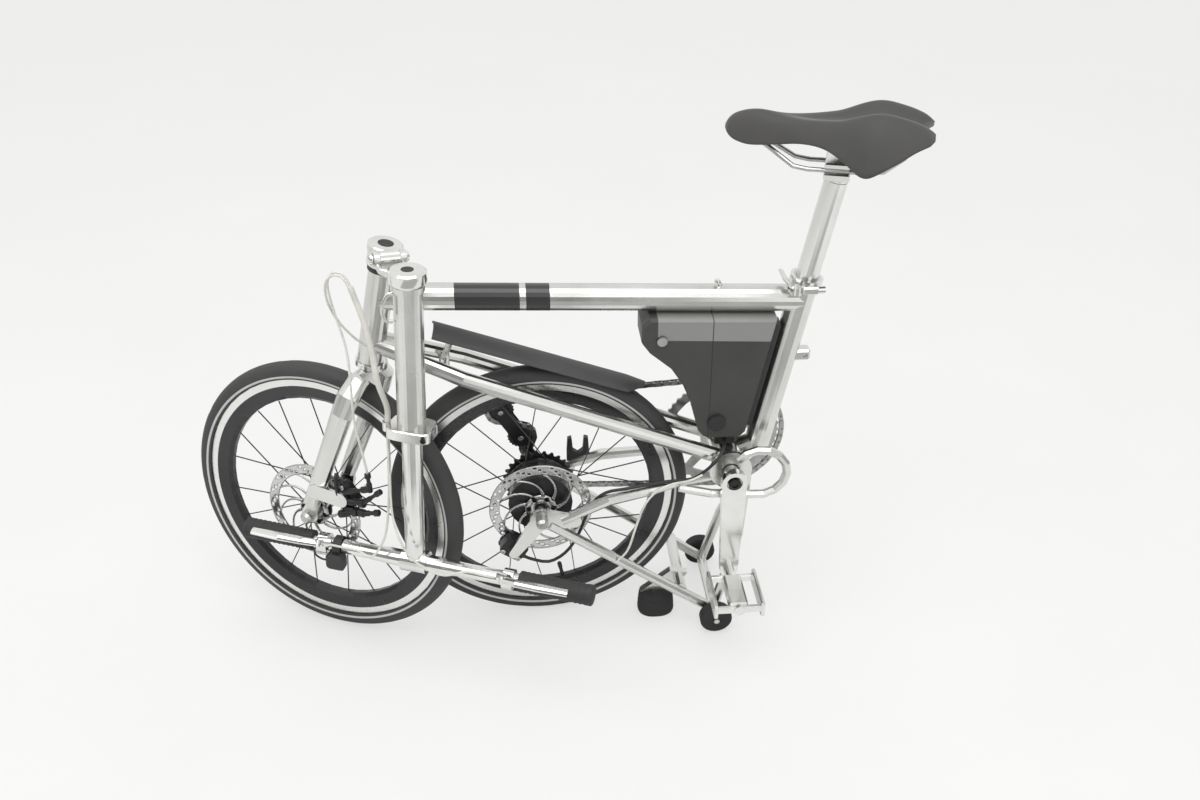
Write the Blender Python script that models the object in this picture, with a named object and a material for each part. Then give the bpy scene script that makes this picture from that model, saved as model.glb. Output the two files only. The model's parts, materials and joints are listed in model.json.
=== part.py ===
"""Folding electric bicycle, shown folded: the rear triangle is swung under the
frame, the handlebar post is hinged down beside the front wheel."""
from math import acos, asin, atan2, cos, pi, radians, sin, sqrt, tan

import bmesh
import bpy
from mathutils import Matrix, Vector

for old in list(bpy.data.objects):
    bpy.data.objects.remove(old, do_unlink=True)

# Clearances (metres)
FIT = 0.0003            # between pieces that touch
BORE_FIT = 0.0003       # shaft in a bore, on the radius

# Wheels
TYRE_RADIUS = 0.233
TYRE_HALF = 0.0165      # half of the tyre's width, and its section radius
RIM_SEAT = 0.2085
RIM_HALF = 0.0115
TRACK_DEPTH = 0.0115    # machined brake track
RIM_DEPTH = 0.0345
SPOKES = 20
SPOKE_RADIUS = 0.0010
SPOKE_CROSS = 0.0024     # spokes that cross pass this far either side of the flange
AXLE_RADIUS = 0.006
AXLE_NUT = 0.0095
ROTOR_RADIUS = 0.080
ROTOR_THICK = 0.0019

# Frame, measured from the bottom bracket
HEAD_TILT = radians(11.8)
HEAD_X = -0.5325
HEAD_Z = 0.200          # lower end of the head tube
HEAD_LENGTH = 0.148
HEAD_RADIUS = 0.0195
STEERER_RADIUS = 0.0145
HEADSET_HEIGHT = 0.008
SEAT_TILT = radians(10.8)
SEAT_TURN = radians(-17.0)   # saddle turned on its post, nose away from the left side
SEAT_X = 0.049
SEAT_Z = 0.019
SEAT_LENGTH = 0.292
SEAT_RADIUS = 0.0195
POST_RADIUS = 0.0168
TOP_TUBE_RADIUS = 0.020
TOP_HEAD_Z = 0.302
COLLAR_HEIGHT = 0.016   # clamp ring at the top of the seat tube
COLLAR_GAP = 0.0005
LOWER_RADIUS = 0.0115
LOWER_SPREAD = 0.032
SHELL_RADIUS = 0.024
SHELL_HALF = 0.044
SPINDLE_RADIUS = 0.012

# Rear triangle
REAR_HUB_X = -0.293
REAR_HUB_Z = -0.058
DROPOUT_IN = 0.0675
PLATE = 0.006
YOKE_RADIUS = 0.033
STAY_RADIUS = 0.009
ROLLER_X = -0.017
ROLLER_RADIUS = 0.026
ROLLER_WIDTH = 0.020
ROLLER_Y = 0.086
BRIDGE_RADIUS = 0.008

# Drive
CRANK_LENGTH = 0.170
CRANK_IN = 0.072
CRANK_THICK = 0.0125
CHAIN_PITCH = 0.0127
CHAIN_Y = 0.057
CHAIN_HALF = 0.0034
CHAIN_HEIGHT = 0.0042   # half of a link plate's height
RING_TEETH = 50
SPROCKET_TEETH = 14
PULLEY_TEETH = 11

# Fork and steering
STEER_REST = radians(27.0)
FORK_RAKE = 0.0393
FORK_DROP_IN = 0.050
BLADE_RADIUS = 0.0105
BLADE_WIDE = 1.42       # the blades are this much deeper than they are thick

# Handlebar post, described as if unfolded above the fork
HINGE_X = 0.025
HINGE_Y = -0.037
HINGE_LIFT = 0.0324     # hinge pin above the top of the headset
HINGE_TURN = radians(48.5)
HINGE_RISE = radians(3.6)
POST_FOLD = radians(174.2)
POST_LENGTH = 0.482
STEM_RADIUS = 0.0205
STEM_LENGTH = 0.262
BAR_HALF = 0.279
BAR_RADIUS = 0.0111
GRIP_RADIUS = 0.0160
GRIP_LENGTH = 0.115
LEVER_TURN = radians(-34.0)   # levers about the bar: forward and down when unfolded

FLOOR = REAR_HUB_Z - TYRE_RADIUS
TYRE_MID = TYRE_RADIUS - TYRE_HALF
RING_PITCH = CHAIN_PITCH / (2 * sin(pi / RING_TEETH))
SPROCKET_PITCH = CHAIN_PITCH / (2 * sin(pi / SPROCKET_TEETH))
PULLEY_PITCH = CHAIN_PITCH / (2 * sin(pi / PULLEY_TEETH))
HEAD_AXIS = Vector((sin(HEAD_TILT), 0, cos(HEAD_TILT)))
SEAT_AXIS = Vector((sin(SEAT_TILT), 0, cos(SEAT_TILT)))
HEAD_LOW = Vector((HEAD_X, 0, HEAD_Z))
SEAT_LOW = Vector((SEAT_X, 0, SEAT_Z))
REAR_HUB = Vector((REAR_HUB_X, 0, REAR_HUB_Z))


def inside_chain(pitch_radius):
    """Largest disc that clears the straight link plates of the chain wrapped on it."""
    return sqrt(pitch_radius ** 2 - (CHAIN_PITCH / 2) ** 2) - CHAIN_HEIGHT - 2 * FIT


SILVER = (0.80, 0.80, 0.77)
CHROME = (0.86, 0.86, 0.84)
BLACK = (0.020, 0.020, 0.021)
RUBBER = (0.045, 0.045, 0.046)
GREY = (0.080, 0.078, 0.075)
STEEL = (0.55, 0.55, 0.54)


def empty(name, parent, matrix):
    obj = bpy.data.objects.new(name, None)
    obj.empty_display_size = 0.02
    bpy.context.scene.collection.objects.link(obj)
    obj.parent = parent
    obj.matrix_local = matrix
    return obj


def shape(verts, faces):
    """A closed mesh with its faces turned outward."""
    mesh = bpy.data.meshes.new("shape")
    mesh.from_pydata([tuple(v) for v in verts], [], faces)
    work = bmesh.new()
    work.from_mesh(mesh)
    bmesh.ops.remove_doubles(work, verts=work.verts, dist=1e-7)
    bmesh.ops.recalc_face_normals(work, faces=work.faces)
    work.to_mesh(mesh)
    work.free()
    return mesh


def node(name, mesh, parent, colour, rough, metal, smooth=35):
    """A finished, named sub-part with its own material."""
    mat = bpy.data.materials.new(name + "_material")
    mat.use_nodes = True
    shader = mat.node_tree.nodes["Principled BSDF"]
    shader.inputs["Base Color"].default_value = (*colour, 1)
    shader.inputs["Roughness"].default_value = rough
    shader.inputs["Metallic"].default_value = metal
    mesh.materials.clear()
    mesh.materials.append(mat)
    mesh.polygons.foreach_set("material_index", [0] * len(mesh.polygons))
    mesh.shade_smooth()
    mesh.set_sharp_from_angle(angle=radians(smooth))
    mesh.name = name
    obj = bpy.data.objects.new(name, mesh)
    bpy.context.scene.collection.objects.link(obj)
    obj.parent = parent
    return obj


def combine(base, others, operation):
    """Exact Boolean of one mesh with a list of meshes."""
    scene = bpy.context.scene.collection
    group = bpy.data.collections.new("group")
    obj = bpy.data.objects.new("base", base)
    scene.objects.link(obj)
    tools = []
    for mesh in others:
        tool = bpy.data.objects.new("tool", mesh)
        group.objects.link(tool)
        tools.append(tool)
    scene.children.link(group)
    mod = obj.modifiers.new("combine", "BOOLEAN")
    mod.operation = operation
    mod.solver = "EXACT"
    mod.operand_type = "COLLECTION"
    mod.collection = group
    bpy.context.view_layer.update()
    graph = bpy.context.evaluated_depsgraph_get()
    mesh = bpy.data.meshes.new_from_object(obj.evaluated_get(graph))
    for tool in tools:
        bpy.data.objects.remove(tool, do_unlink=True)
    bpy.data.objects.remove(obj, do_unlink=True)
    bpy.data.collections.remove(group)
    work = bmesh.new()
    work.from_mesh(mesh)
    bmesh.ops.remove_doubles(work, verts=work.verts, dist=1e-6)
    bmesh.ops.dissolve_degenerate(work, edges=work.edges, dist=1e-6)
    work.to_mesh(mesh)
    work.free()
    return mesh


def fuse(*meshes):
    return combine(meshes[0], meshes[1:], "UNION")


def cut(base, *tools):
    return combine(base, tools, "DIFFERENCE")


def moved(mesh, matrix):
    mesh.transform(matrix)
    if matrix.determinant() < 0:
        mesh.flip_normals()
    return mesh


def mirrored(mesh):
    """A copy on the other side of the middle plane."""
    return moved(mesh.copy(), Matrix.Scale(-1, 4, Vector((0, 1, 0))))


def revolve(profile, count=32):
    """Ring turned round the Y axis from a closed outline of (radius, y)."""
    verts = []
    faces = []
    rows = len(profile)
    for k in range(count):
        turn = 2 * pi * k / count
        for radius, y in profile:
            verts.append((radius * cos(turn), y, radius * sin(turn)))
    for k in range(count):
        here = k * rows
        there = (k + 1) % count * rows
        for i in range(rows):
            j = (i + 1) % rows
            faces.append((here + i, here + j, there + j, there + i))
    return shape(verts, faces)


def rod(path, radius, count=16, squash=1.0):
    """Round bar swept along a list of points, closed at both ends."""
    points = [Vector(p) for p in path]
    radii = radius if isinstance(radius, (list, tuple)) else [radius] * len(points)
    ahead = (points[1] - points[0]).normalized()
    side = ahead.orthogonal().normalized()
    if abs(ahead.y) < 0.9:
        side = Vector((0, 1, 0))
        side = (side - ahead * side.dot(ahead)).normalized()
    verts = []
    faces = []
    for i, point in enumerate(points):
        before = (point - points[i - 1]).normalized() if i else ahead
        after = (points[i + 1] - point).normalized() if i + 1 < len(points) else before
        along = (before + after).normalized()
        stretch = 1 / max(0.5, along.dot(after))
        side = (side - along * side.dot(along)).normalized()
        other = along.cross(side)
        for k in range(count):
            turn = 2 * pi * (k + 0.5) / count
            flat = stretch if abs(stretch - 1) > 1e-6 else 1
            verts.append(point + radii[i] * (cos(turn) * side + sin(turn) * squash * flat * other))
    for i in range(len(points) - 1):
        for k in range(count):
            j = (k + 1) % count
            a = i * count
            faces.append((a + k, a + j, a + count + j, a + count + k))
    faces.append(tuple(range(count)))
    faces.append(tuple(range((len(points) - 1) * count, len(points) * count)))
    return shape(verts, faces)


def prism(outline, low, high):
    """Plate cut to an outline of (x, z), from y = low to y = high."""
    count = len(outline)
    verts = [(x, low, z) for x, z in outline] + [(x, high, z) for x, z in outline]
    faces = [tuple(range(count)), tuple(range(count, 2 * count))]
    for i in range(count):
        j = (i + 1) % count
        faces.append((i, j, j + count, i + count))
    return shape(verts, faces)


def block(centre, size, round_by=0.0):
    mesh = shape([(x, y, z) for x in (-0.5, 0.5) for y in (-0.5, 0.5) for z in (-0.5, 0.5)],
                 [(0, 1, 3, 2), (4, 6, 7, 5), (0, 4, 5, 1), (2, 3, 7, 6), (0, 2, 6, 4), (1, 5, 7, 3)])
    mesh.transform(Matrix.Diagonal((*size, 1)))
    if round_by:
        work = bmesh.new()
        work.from_mesh(mesh)
        bmesh.ops.bevel(work, geom=work.edges, offset=round_by, segments=1, profile=0.5, affect="EDGES")
        work.to_mesh(mesh)
        work.free()
    mesh.transform(Matrix.Translation(centre))
    return mesh


def loft(sections):
    """Closed skin through rings of points that all have one count."""
    count = len(sections[0])
    verts = [p for ring in sections for p in ring]
    faces = [tuple(range(count)), tuple(range(len(verts) - count, len(verts)))]
    for i in range(len(sections) - 1):
        for k in range(count):
            j = (k + 1) % count
            a = i * count
            faces.append((a + k, a + j, a + count + j, a + count + k))
    return shape(verts, faces)


def cylinder(centre, radius, half, axis="Y", count=24):
    way = {"X": Vector((1, 0, 0)), "Y": Vector((0, 1, 0)), "Z": Vector((0, 0, 1))}[axis]
    centre = Vector(centre)
    return rod([centre - way * half, centre + way * half], radius, count)


def on_axis(start, axis, distance):
    return start + axis * distance


def stadium(x0, z0, r0, x1, z1, r1, steps=7):
    """Outline of two round ends joined by straight sides."""
    angle = atan2(z1 - z0, x1 - x0)
    points = []
    for k in range(steps + 1):
        turn = angle - pi / 2 + pi * k / steps
        points.append((x1 + r1 * cos(turn), z1 + r1 * sin(turn)))
    for k in range(steps + 1):
        turn = angle + pi / 2 + pi * k / steps
        points.append((x0 + r0 * cos(turn), z0 + r0 * sin(turn)))
    return points


root = empty("folding_bicycle", None, Matrix.Identity(4))


# Main frame: welded tubes, hollow head and seat tubes, pivot shell at the bottom
def tube_between(a, b, radius, count=20):
    return rod([a, b], radius, count)


head_top = on_axis(HEAD_LOW, HEAD_AXIS, HEAD_LENGTH)
seat_top = on_axis(SEAT_LOW, SEAT_AXIS, SEAT_LENGTH)
top_front = on_axis(HEAD_LOW, HEAD_AXIS, (TOP_HEAD_Z - HEAD_Z) / HEAD_AXIS.z)
top_rear = on_axis(SEAT_LOW, SEAT_AXIS, SEAT_LENGTH - COLLAR_HEIGHT - COLLAR_GAP - TOP_TUBE_RADIUS)
lower_front = on_axis(HEAD_LOW, HEAD_AXIS, 0.030) + Vector((0.005, 0, 0))
lower_bend = Vector((-0.400, LOWER_SPREAD, 0.178))
lower_rear = Vector((-0.012, LOWER_SPREAD, 0.014))
lower_side = rod([lower_front + Vector((0, 0.010, 0)), lower_bend, lower_rear], LOWER_RADIUS, 14)
catch_s = (0.176 - SEAT_Z) / SEAT_AXIS.z
catch_at = on_axis(SEAT_LOW, SEAT_AXIS, catch_s)
shield_way = Vector((0.253, 0, -0.096)).normalized()
shield_up = Vector((-shield_way.z, 0, shield_way.x))
SHIELD_GAP = 0.0035
SHIELD_THICK = 0.003
SHIELD_ARC = 0.040
shield_mid = REAR_HUB + shield_up * (TYRE_RADIUS + SHIELD_GAP + SHIELD_THICK)
shield_foot_at = shield_mid - shield_way * 0.215
foot_top = shield_foot_at - shield_up * (SHIELD_THICK + 2 * FIT)
shield_foot = rod([foot_top - shield_up * 0.055, foot_top], 0.005, 12)
lower_share = 0.78
cross_at = (lower_front * (1 - lower_share) + Vector((lower_bend.x, 0, lower_bend.z)) * lower_share)
shield_bar = rod([cross_at - Vector((0, 0.026, 0)), cross_at + Vector((0, 0.026, 0))], 0.008, 12)
shield_post = rod([cross_at, foot_top - shield_up * 0.050], 0.006, 12)
frame_mesh = fuse(
    tube_between(HEAD_LOW, head_top, HEAD_RADIUS, 24),
    tube_between(top_front, top_rear, TOP_TUBE_RADIUS),
    tube_between(SEAT_LOW - SEAT_AXIS * 0.012, seat_top, SEAT_RADIUS),
    lower_side, mirrored(lower_side),
    cylinder((0, 0, 0), SHELL_RADIUS, SHELL_HALF, "Y", 22),
    tube_between(SEAT_LOW, Vector((0, 0, 0)), 0.017, 20),
    block(catch_at + Vector((0.024, 0, 0)), (0.030, 0.020, 0.018), 0.003),
    shield_foot, shield_bar, shield_post)
frame_mesh = cut(
    frame_mesh,
    rod([HEAD_LOW - HEAD_AXIS * 0.02, head_top + HEAD_AXIS * 0.02], STEERER_RADIUS + BORE_FIT, 24),
    rod([on_axis(SEAT_LOW, SEAT_AXIS, 0.060), seat_top + SEAT_AXIS * 0.02], POST_RADIUS + BORE_FIT, 24),
    cylinder((0, 0, 0), SPINDLE_RADIUS + BORE_FIT, SHELL_HALF + 0.02, "Y", 24),
    rod([catch_at + Vector((0.031, -0.02, 0)), catch_at + Vector((0.031, 0.02, 0))], 0.0035, 12))
node("main_frame", frame_mesh, root, SILVER, 0.22, 1.0)


def collar(start, axis, low, high, inner, outer, count=22):
    """Ring on a tube's axis between two distances along it."""
    ring = revolve([(inner, low), (outer, low), (outer, high), (inner, high)], count)
    turn = Vector((0, 1, 0)).rotation_difference(axis).to_matrix().to_4x4()
    return moved(ring, Matrix.Translation(start) @ turn)


node("headset_upper",
     collar(HEAD_LOW, HEAD_AXIS, HEAD_LENGTH + FIT, HEAD_LENGTH + FIT + HEADSET_HEIGHT,
            STEERER_RADIUS + BORE_FIT, HEAD_RADIUS + 0.002),
     root, BLACK, 0.4, 0.0)
node("headset_lower",
     collar(HEAD_LOW, HEAD_AXIS, -FIT - HEADSET_HEIGHT, -FIT,
            STEERER_RADIUS + BORE_FIT, HEAD_RADIUS + 0.002),
     root, BLACK, 0.4, 0.0)

# Mud shield: moulded half-pipe blade over the folded rear wheel
SHIELD_FRONT = -0.245
SHIELD_BACK = 0.085
shield_rings = []
for step in range(13):
    share = step / 12
    along = SHIELD_FRONT + (SHIELD_BACK - SHIELD_FRONT) * share
    end = max(0.0, (share - 0.9) / 0.1)
    half_turn = radians(40) * sqrt(max(0.04, 1 - 0.96 * end ** 2))
    ring = []
    for outer in (True, False):
        radius = SHIELD_ARC if outer else SHIELD_ARC - SHIELD_THICK
        for k in range(9):
            turn = half_turn * (k / 4 - 1) * (1 if outer else -1)
            drop = SHIELD_ARC - radius * cos(turn)
            spot = shield_mid + shield_way * along - shield_up * drop
            ring.append(spot + Vector((0, radius * sin(turn), 0)))
    shield_rings.append(ring)
node("mud_shield", loft(shield_rings), root, RUBBER, 0.5, 0.0)

# Battery: tapered case in the frame angle with lock, cap and rail
BATTERY_HALF = 0.031
RAIL_GAP = 0.013


def seat_front(z):
    """Front face of the seat tube at a height."""
    return SEAT_X + (z - SEAT_Z) * tan(SEAT_TILT) - SEAT_RADIUS / cos(SEAT_TILT)


def under_top_tube(x):
    share = (x - top_front.x) / (top_rear.x - top_front.x)
    return top_front.z + (top_rear.z - top_front.z) * share - TOP_TUBE_RADIUS - 0.0012


BATTERY_LOW = 0.047
case_top_right = seat_front(top_rear.z - TOP_TUBE_RADIUS) - RAIL_GAP - 0.001
case_outline = [(case_top_right, under_top_tube(case_top_right)),
                (-0.128, under_top_tube(-0.128)), (-0.139, under_top_tube(-0.139) - 0.012),
                (-0.139, 0.221), (-0.130, 0.208), (-0.098, 0.180), (-0.076, 0.145),
                (-0.064, 0.115), (-0.050, 0.062), (-0.042, BATTERY_LOW + 0.004), (-0.034, BATTERY_LOW),
                (seat_front(BATTERY_LOW) - RAIL_GAP - 0.006, BATTERY_LOW),
                (seat_front(BATTERY_LOW + 0.008) - RAIL_GAP, BATTERY_LOW + 0.008)]
case_ring = []
for inset, side in ((0.004, -1.0), (0.0, -0.82), (0.0, 0.82), (0.004, 1.0)):
    mid_x = sum(p[0] for p in case_outline) / len(case_outline)
    mid_z = sum(p[1] for p in case_outline) / len(case_outline)
    ring = []
    for x, z in case_outline:
        reach = sqrt((x - mid_x) ** 2 + (z - mid_z) ** 2)
        keep = 1 - inset / reach
        ring.append((mid_x + (x - mid_x) * keep, BATTERY_HALF * side, mid_z + (z - mid_z) * keep))
    case_ring.append(ring)
LOCK_X = -0.110
LOCK_Z = 0.226
CAP_X = -0.023
CAP_Z = 0.078
case_mesh = cut(loft(case_ring),
                cylinder((LOCK_X, -BATTERY_HALF, LOCK_Z), 0.0075 + FIT, 0.004, "Y", 20),
                cylinder((CAP_X, -BATTERY_HALF, CAP_Z), 0.0135 + FIT, 0.004, "Y", 24))
node("battery_case", case_mesh, root, GREY, 0.45, 0.0, 25)
node("battery_lock",
     cylinder((LOCK_X, -BATTERY_HALF - 0.0005, LOCK_Z), 0.0075, 0.0042, "Y", 20),
     root, STEEL, 0.3, 1.0)
node("battery_cap",
     cylinder((CAP_X, -BATTERY_HALF - 0.0005, CAP_Z), 0.0135, 0.0042, "Y", 24),
     root, BLACK, 0.5, 0.0)
rail_low = BATTERY_LOW + 0.010
rail_high = top_rear.z - TOP_TUBE_RADIUS - 0.018
rail_wide = RAIL_GAP - 0.0012
rail_outline = [(seat_front(rail_low) - 0.0006, rail_low), (seat_front(rail_high) - 0.0006, rail_high),
                (seat_front(rail_high) - rail_wide, rail_high), (seat_front(rail_low) - rail_wide, rail_low)]
node("battery_rail", prism(rail_outline, -0.012, 0.012), root, GREY, 0.5, 0.0)
socket_tall = BATTERY_LOW - SHELL_RADIUS - 2 * FIT
node("battery_socket",
     block((-0.004, 0, (BATTERY_LOW + SHELL_RADIUS) / 2), (0.034, 0.030, socket_tall), 0.003),
     root, BLACK, 0.55, 0.0)

# Seat collar: split ring with a cross bolt, closed by a quick-release lever
COLLAR_LOW = SEAT_LENGTH - COLLAR_HEIGHT
COLLAR_OUT = SEAT_RADIUS + 0.005
collar_mid = on_axis(SEAT_LOW, SEAT_AXIS, SEAT_LENGTH - COLLAR_HEIGHT / 2)
bolt_at = collar_mid + Vector((0.0, -COLLAR_OUT - 0.006, 0.0))
collar_mesh = fuse(
    collar(SEAT_LOW, SEAT_AXIS, COLLAR_LOW, SEAT_LENGTH, SEAT_RADIUS + FIT, COLLAR_OUT),
    block(collar_mid + Vector((0, -COLLAR_OUT - 0.004, 0)), (0.024, 0.014, 0.012), 0.002),
    rod([bolt_at + Vector((0.010, 0, 0)), bolt_at + Vector((0.021, 0, 0))], 0.0055, 12))
node("seat_collar", collar_mesh, root, CHROME, 0.18, 1.0)
lever_pivot = bolt_at + Vector((-0.0125 - 0.0065, 0, 0))
seat_lever_joint = empty("seat_lever_joint", root, Matrix.Translation(lever_pivot))
lever_cam = rod([(0, 0, -0.006), (0, 0, 0.006)], 0.0062, 16)
lever_blade = rod([(0, 0, 0), (-0.006, 0.004, 0.003), (-0.013, 0.022, 0.007), (-0.015, 0.046, 0.010)],
                  [0.0045, 0.005, 0.0055, 0.0045], 12, 0.5)
node("seat_lever", fuse(lever_cam, lever_blade), seat_lever_joint, CHROME, 0.18, 1.0)

# Seat post, clamp, rails and saddle slide together in the seat tube
POST_ABOVE = 0.150
POST_INSIDE = 0.150
seat_slide = empty("seat_slide", root,
                   Matrix.Translation(seat_top) @ Matrix.Rotation(SEAT_TURN, 4, SEAT_AXIS))
post_top = SEAT_AXIS * POST_ABOVE
node("seatpost", rod([SEAT_AXIS * -POST_INSIDE, post_top], POST_RADIUS, 24), seat_slide, CHROME, 0.2, 1.0)
RAIL_RADIUS = 0.0035
RAIL_SPREAD = 0.021
clamp_at = post_top + Vector((0, 0, 0.020))
clamp_mesh = fuse(
    rod([post_top + SEAT_AXIS * FIT, post_top + SEAT_AXIS * 0.010], POST_RADIUS - 0.001, 20),
    block(clamp_at - Vector((0, 0, 0.0085)), (0.036, 0.054, 0.011), 0.002),
    block(clamp_at + Vector((0, 0, 0.0075)), (0.034, 0.054, 0.009), 0.002),
    rod([clamp_at - Vector((0, 0, 0.018)), clamp_at + Vector((0, 0, 0.014))], 0.0042, 12))
for side in (-RAIL_SPREAD, RAIL_SPREAD):
    groove = rod([clamp_at + Vector((-0.05, side, 0)), clamp_at + Vector((0.05, side, 0))],
                 RAIL_RADIUS + FIT, 12)
    clamp_mesh = cut(clamp_mesh, groove)
node("saddle_clamp", clamp_mesh, seat_slide, CHROME, 0.25, 1.0)

SADDLE_FRONT = -0.158
SADDLE_BACK = 0.124
SADDLE_LIFT = 0.068
rail_side = [clamp_at + Vector(p) for p in
             ((-0.112, 0.010, 0.0361), (-0.060, RAIL_SPREAD, 0.003), (-0.040, RAIL_SPREAD, 0.0),
              (0.040, RAIL_SPREAD, 0.0), (0.062, RAIL_SPREAD + 0.008, 0.006),
              (0.088, RAIL_SPREAD + 0.014, 0.0298))]
rail_mesh = rod(rail_side, RAIL_RADIUS, 10)
rail_tie = rod([rail_side[0] + Vector((0.002, -0.022, 0)), rail_side[0] + Vector((0.002, 0.002, 0))],
               RAIL_RADIUS, 10)
node("saddle_rails", fuse(rail_mesh, mirrored(rail_mesh), rail_tie), seat_slide, STEEL, 0.3, 1.0)


def ease(value, points):
    """Smooth curve through (position, height) pairs."""
    for (x0, y0), (x1, y1) in zip(points, points[1:]):
        if value <= x1:
            share = max(0.0, (value - x0) / (x1 - x0))
            return y0 + (y1 - y0) * (3 * share ** 2 - 2 * share ** 3)
    return points[-1][1]


WIDTH_CURVE = [(0, 0.010), (0.05, 0.021), (0.14, 0.0265), (0.40, 0.033), (0.62, 0.055), (0.82, 0.077),
               (0.94, 0.070), (1, 0.046)]
CROWN_CURVE = [(0, -0.016), (0.05, -0.004), (0.14, 0.0), (0.40, -0.006), (0.76, 0.014), (0.92, 0.009),
               (1, -0.012)]
DEPTH_CURVE = [(0, 0.014), (0.05, 0.036), (0.14, 0.046), (0.45, 0.050), (0.80, 0.068), (1, 0.036)]
saddle_rings = []
for step in range(19):
    share = 0.5 - 0.5 * cos(pi * step / 18)
    x = SADDLE_FRONT + (SADDLE_BACK - SADDLE_FRONT) * share
    half = ease(share, WIDTH_CURVE)
    crown = SADDLE_LIFT + ease(share, CROWN_CURVE)
    depth = ease(share, DEPTH_CURVE)
    dip = 0.010 * sin(pi * min(1.0, max(0.0, (share - 0.22) / 0.78))) ** 0.7
    ring = []
    for k in range(13):
        u = k / 6 - 1
        groove = dip * max(0.0, 1 - (u * half / 0.014) ** 2) ** 2
        side = abs(u) ** 2.6
        ring.append(clamp_at + Vector((x, half * u, crown - groove - depth * 0.72 * side)))
    for k in range(7):
        u = 1 - (k + 0.5) * 2 / 7
        lift = 0.72 + 0.02 * (1 - u * u)
        under = crown - max(depth * 0.30, depth - 0.026 - 0.012 * abs(u)) - 0.008
        if k in (0, 6):
            under = crown - depth * (lift + 0.06)
        ring.append(clamp_at + Vector((x, (half - 0.004) * u, min(under, crown - dip - 0.006))))
    saddle_rings.append(ring)
node("saddle", loft(saddle_rings), seat_slide, (0.075, 0.074, 0.072), 0.75, 0.0, 60)

# Rear triangle: swings about the bottom bracket axis
rear_fold = empty("rear_fold", root, Matrix.Identity(4))
ROLLER_Z = FLOOR + ROLLER_RADIUS
DROPOUT_MID = DROPOUT_IN + PLATE / 2
YOKE_IN = SHELL_HALF + FIT
YOKE_MID = YOKE_IN + PLATE / 2
CALIPER_TURN = radians(235)
CALIPER_REACH = 0.078
HANGER = (REAR_HUB_X - 0.019, REAR_HUB_Z + 0.038)
hub_x, hub_z = REAR_HUB_X, REAR_HUB_Z


def near(x, y, z):
    return Vector((x, -y, z))


def far(x, y, z):
    return Vector((x, y, z))


pieces = []
for side, spot in ((-1, near), (1, far)):
    low, high = sorted((side * DROPOUT_IN, side * (DROPOUT_IN + PLATE)))
    pieces.append(prism(stadium(hub_x, hub_z, 0.019, hub_x + 0.050, hub_z - 0.006, 0.011), low, high))
    ring = revolve([(SPINDLE_RADIUS + 0.0015, YOKE_IN), (YOKE_RADIUS, YOKE_IN),
                    (YOKE_RADIUS, YOKE_IN + PLATE), (SPINDLE_RADIUS + 0.0015, YOKE_IN + PLATE)], 28)
    pieces.append(ring if side > 0 else mirrored(ring))
    pieces.append(rod([spot(hub_x + 0.030, DROPOUT_MID, hub_z - 0.004), spot(-0.190, 0.0612, -0.035),
                       spot(-0.125, 0.0535, -0.027), spot(-0.084, 0.0480, -0.022),
                       spot(-0.024, YOKE_MID, -0.014)],
                      [STAY_RADIUS - 0.001, STAY_RADIUS, 0.0080, 0.0046, 0.0028], 10))
    pieces.append(rod([spot(hub_x + 0.012, DROPOUT_MID, hub_z - 0.011),
                       spot(-0.110, 0.0685, -0.196),
                       spot(ROLLER_X, 0.0665, ROLLER_Z)], STAY_RADIUS - 0.001, 10))
    yoke_low, yoke_high = sorted((side * (YOKE_IN + 0.0006), side * (YOKE_IN + PLATE - 0.0006)))
    pieces.append(prism(stadium(0.022, -0.014, 0.011, 0.016, -0.128, 0.010), yoke_low, yoke_high))
    pieces.append(rod([spot(0.016, YOKE_MID, -0.122), spot(0.010, 0.0560, -0.160),
                       spot(ROLLER_X, 0.0620, ROLLER_Z)],
                      [0.0024, STAY_RADIUS - 0.001, STAY_RADIUS - 0.001], 10))
HOOK_X = 0.045
HOOK_RADIUS = 0.041
hook = [near(-0.080, 0.0520, -0.026), near(-0.030, 0.0555, -0.037)]
for step in range(10):
    turn = radians(-105 + 230 * step / 9)
    inward = 0.0575 - 0.0045 * max(0.0, step / 9 - 0.6) / 0.4
    hook.append(near(HOOK_X + HOOK_RADIUS * cos(turn), inward, -0.002 + HOOK_RADIUS * sin(turn)))
hook.append(near(0.012, 0.0515, 0.020))
pieces.append(rod(hook, 0.0068, 8))
pieces.append(rod([near(-0.072, DROPOUT_MID - 0.004, -0.2175), far(-0.072, DROPOUT_MID - 0.004, -0.2175)],
                  STAY_RADIUS, 10))
pieces.append(rod([near(ROLLER_X, 0.0745, ROLLER_Z), far(ROLLER_X, 0.0745, ROLLER_Z)], BRIDGE_RADIUS, 12))
pieces.append(rod([near(ROLLER_X, 0.0990, ROLLER_Z), far(ROLLER_X, 0.0990, ROLLER_Z)], 0.0045, 12))
FOOT_X = -0.108
FOOT_Y = -0.030
FOOT_TOP = FLOOR + 0.044
pieces.append(prism([(-0.086, -0.206), (-0.058, -0.212), (-0.078, FOOT_TOP + FIT), (-0.134, FOOT_TOP + FIT)],
                    FOOT_Y - 0.006, FOOT_Y + 0.006))
caliper_at = (hub_x + CALIPER_REACH * cos(CALIPER_TURN), hub_z + CALIPER_REACH * sin(CALIPER_TURN))
pieces.append(prism(stadium(hub_x, hub_z, 0.014, *caliper_at, 0.008),
                    -DROPOUT_IN - PLATE + 0.0006, -DROPOUT_IN + 0.0))
pieces.append(prism(stadium(hub_x, hub_z, 0.016, *HANGER, 0.010), DROPOUT_IN, DROPOUT_IN + PLATE - 0.0006))
triangle_mesh = fuse(*pieces)
axle_bore = rod([REAR_HUB - Vector((0, 0.1, 0)), REAR_HUB + Vector((0, 0.1, 0))], AXLE_RADIUS + BORE_FIT, 16)
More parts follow.
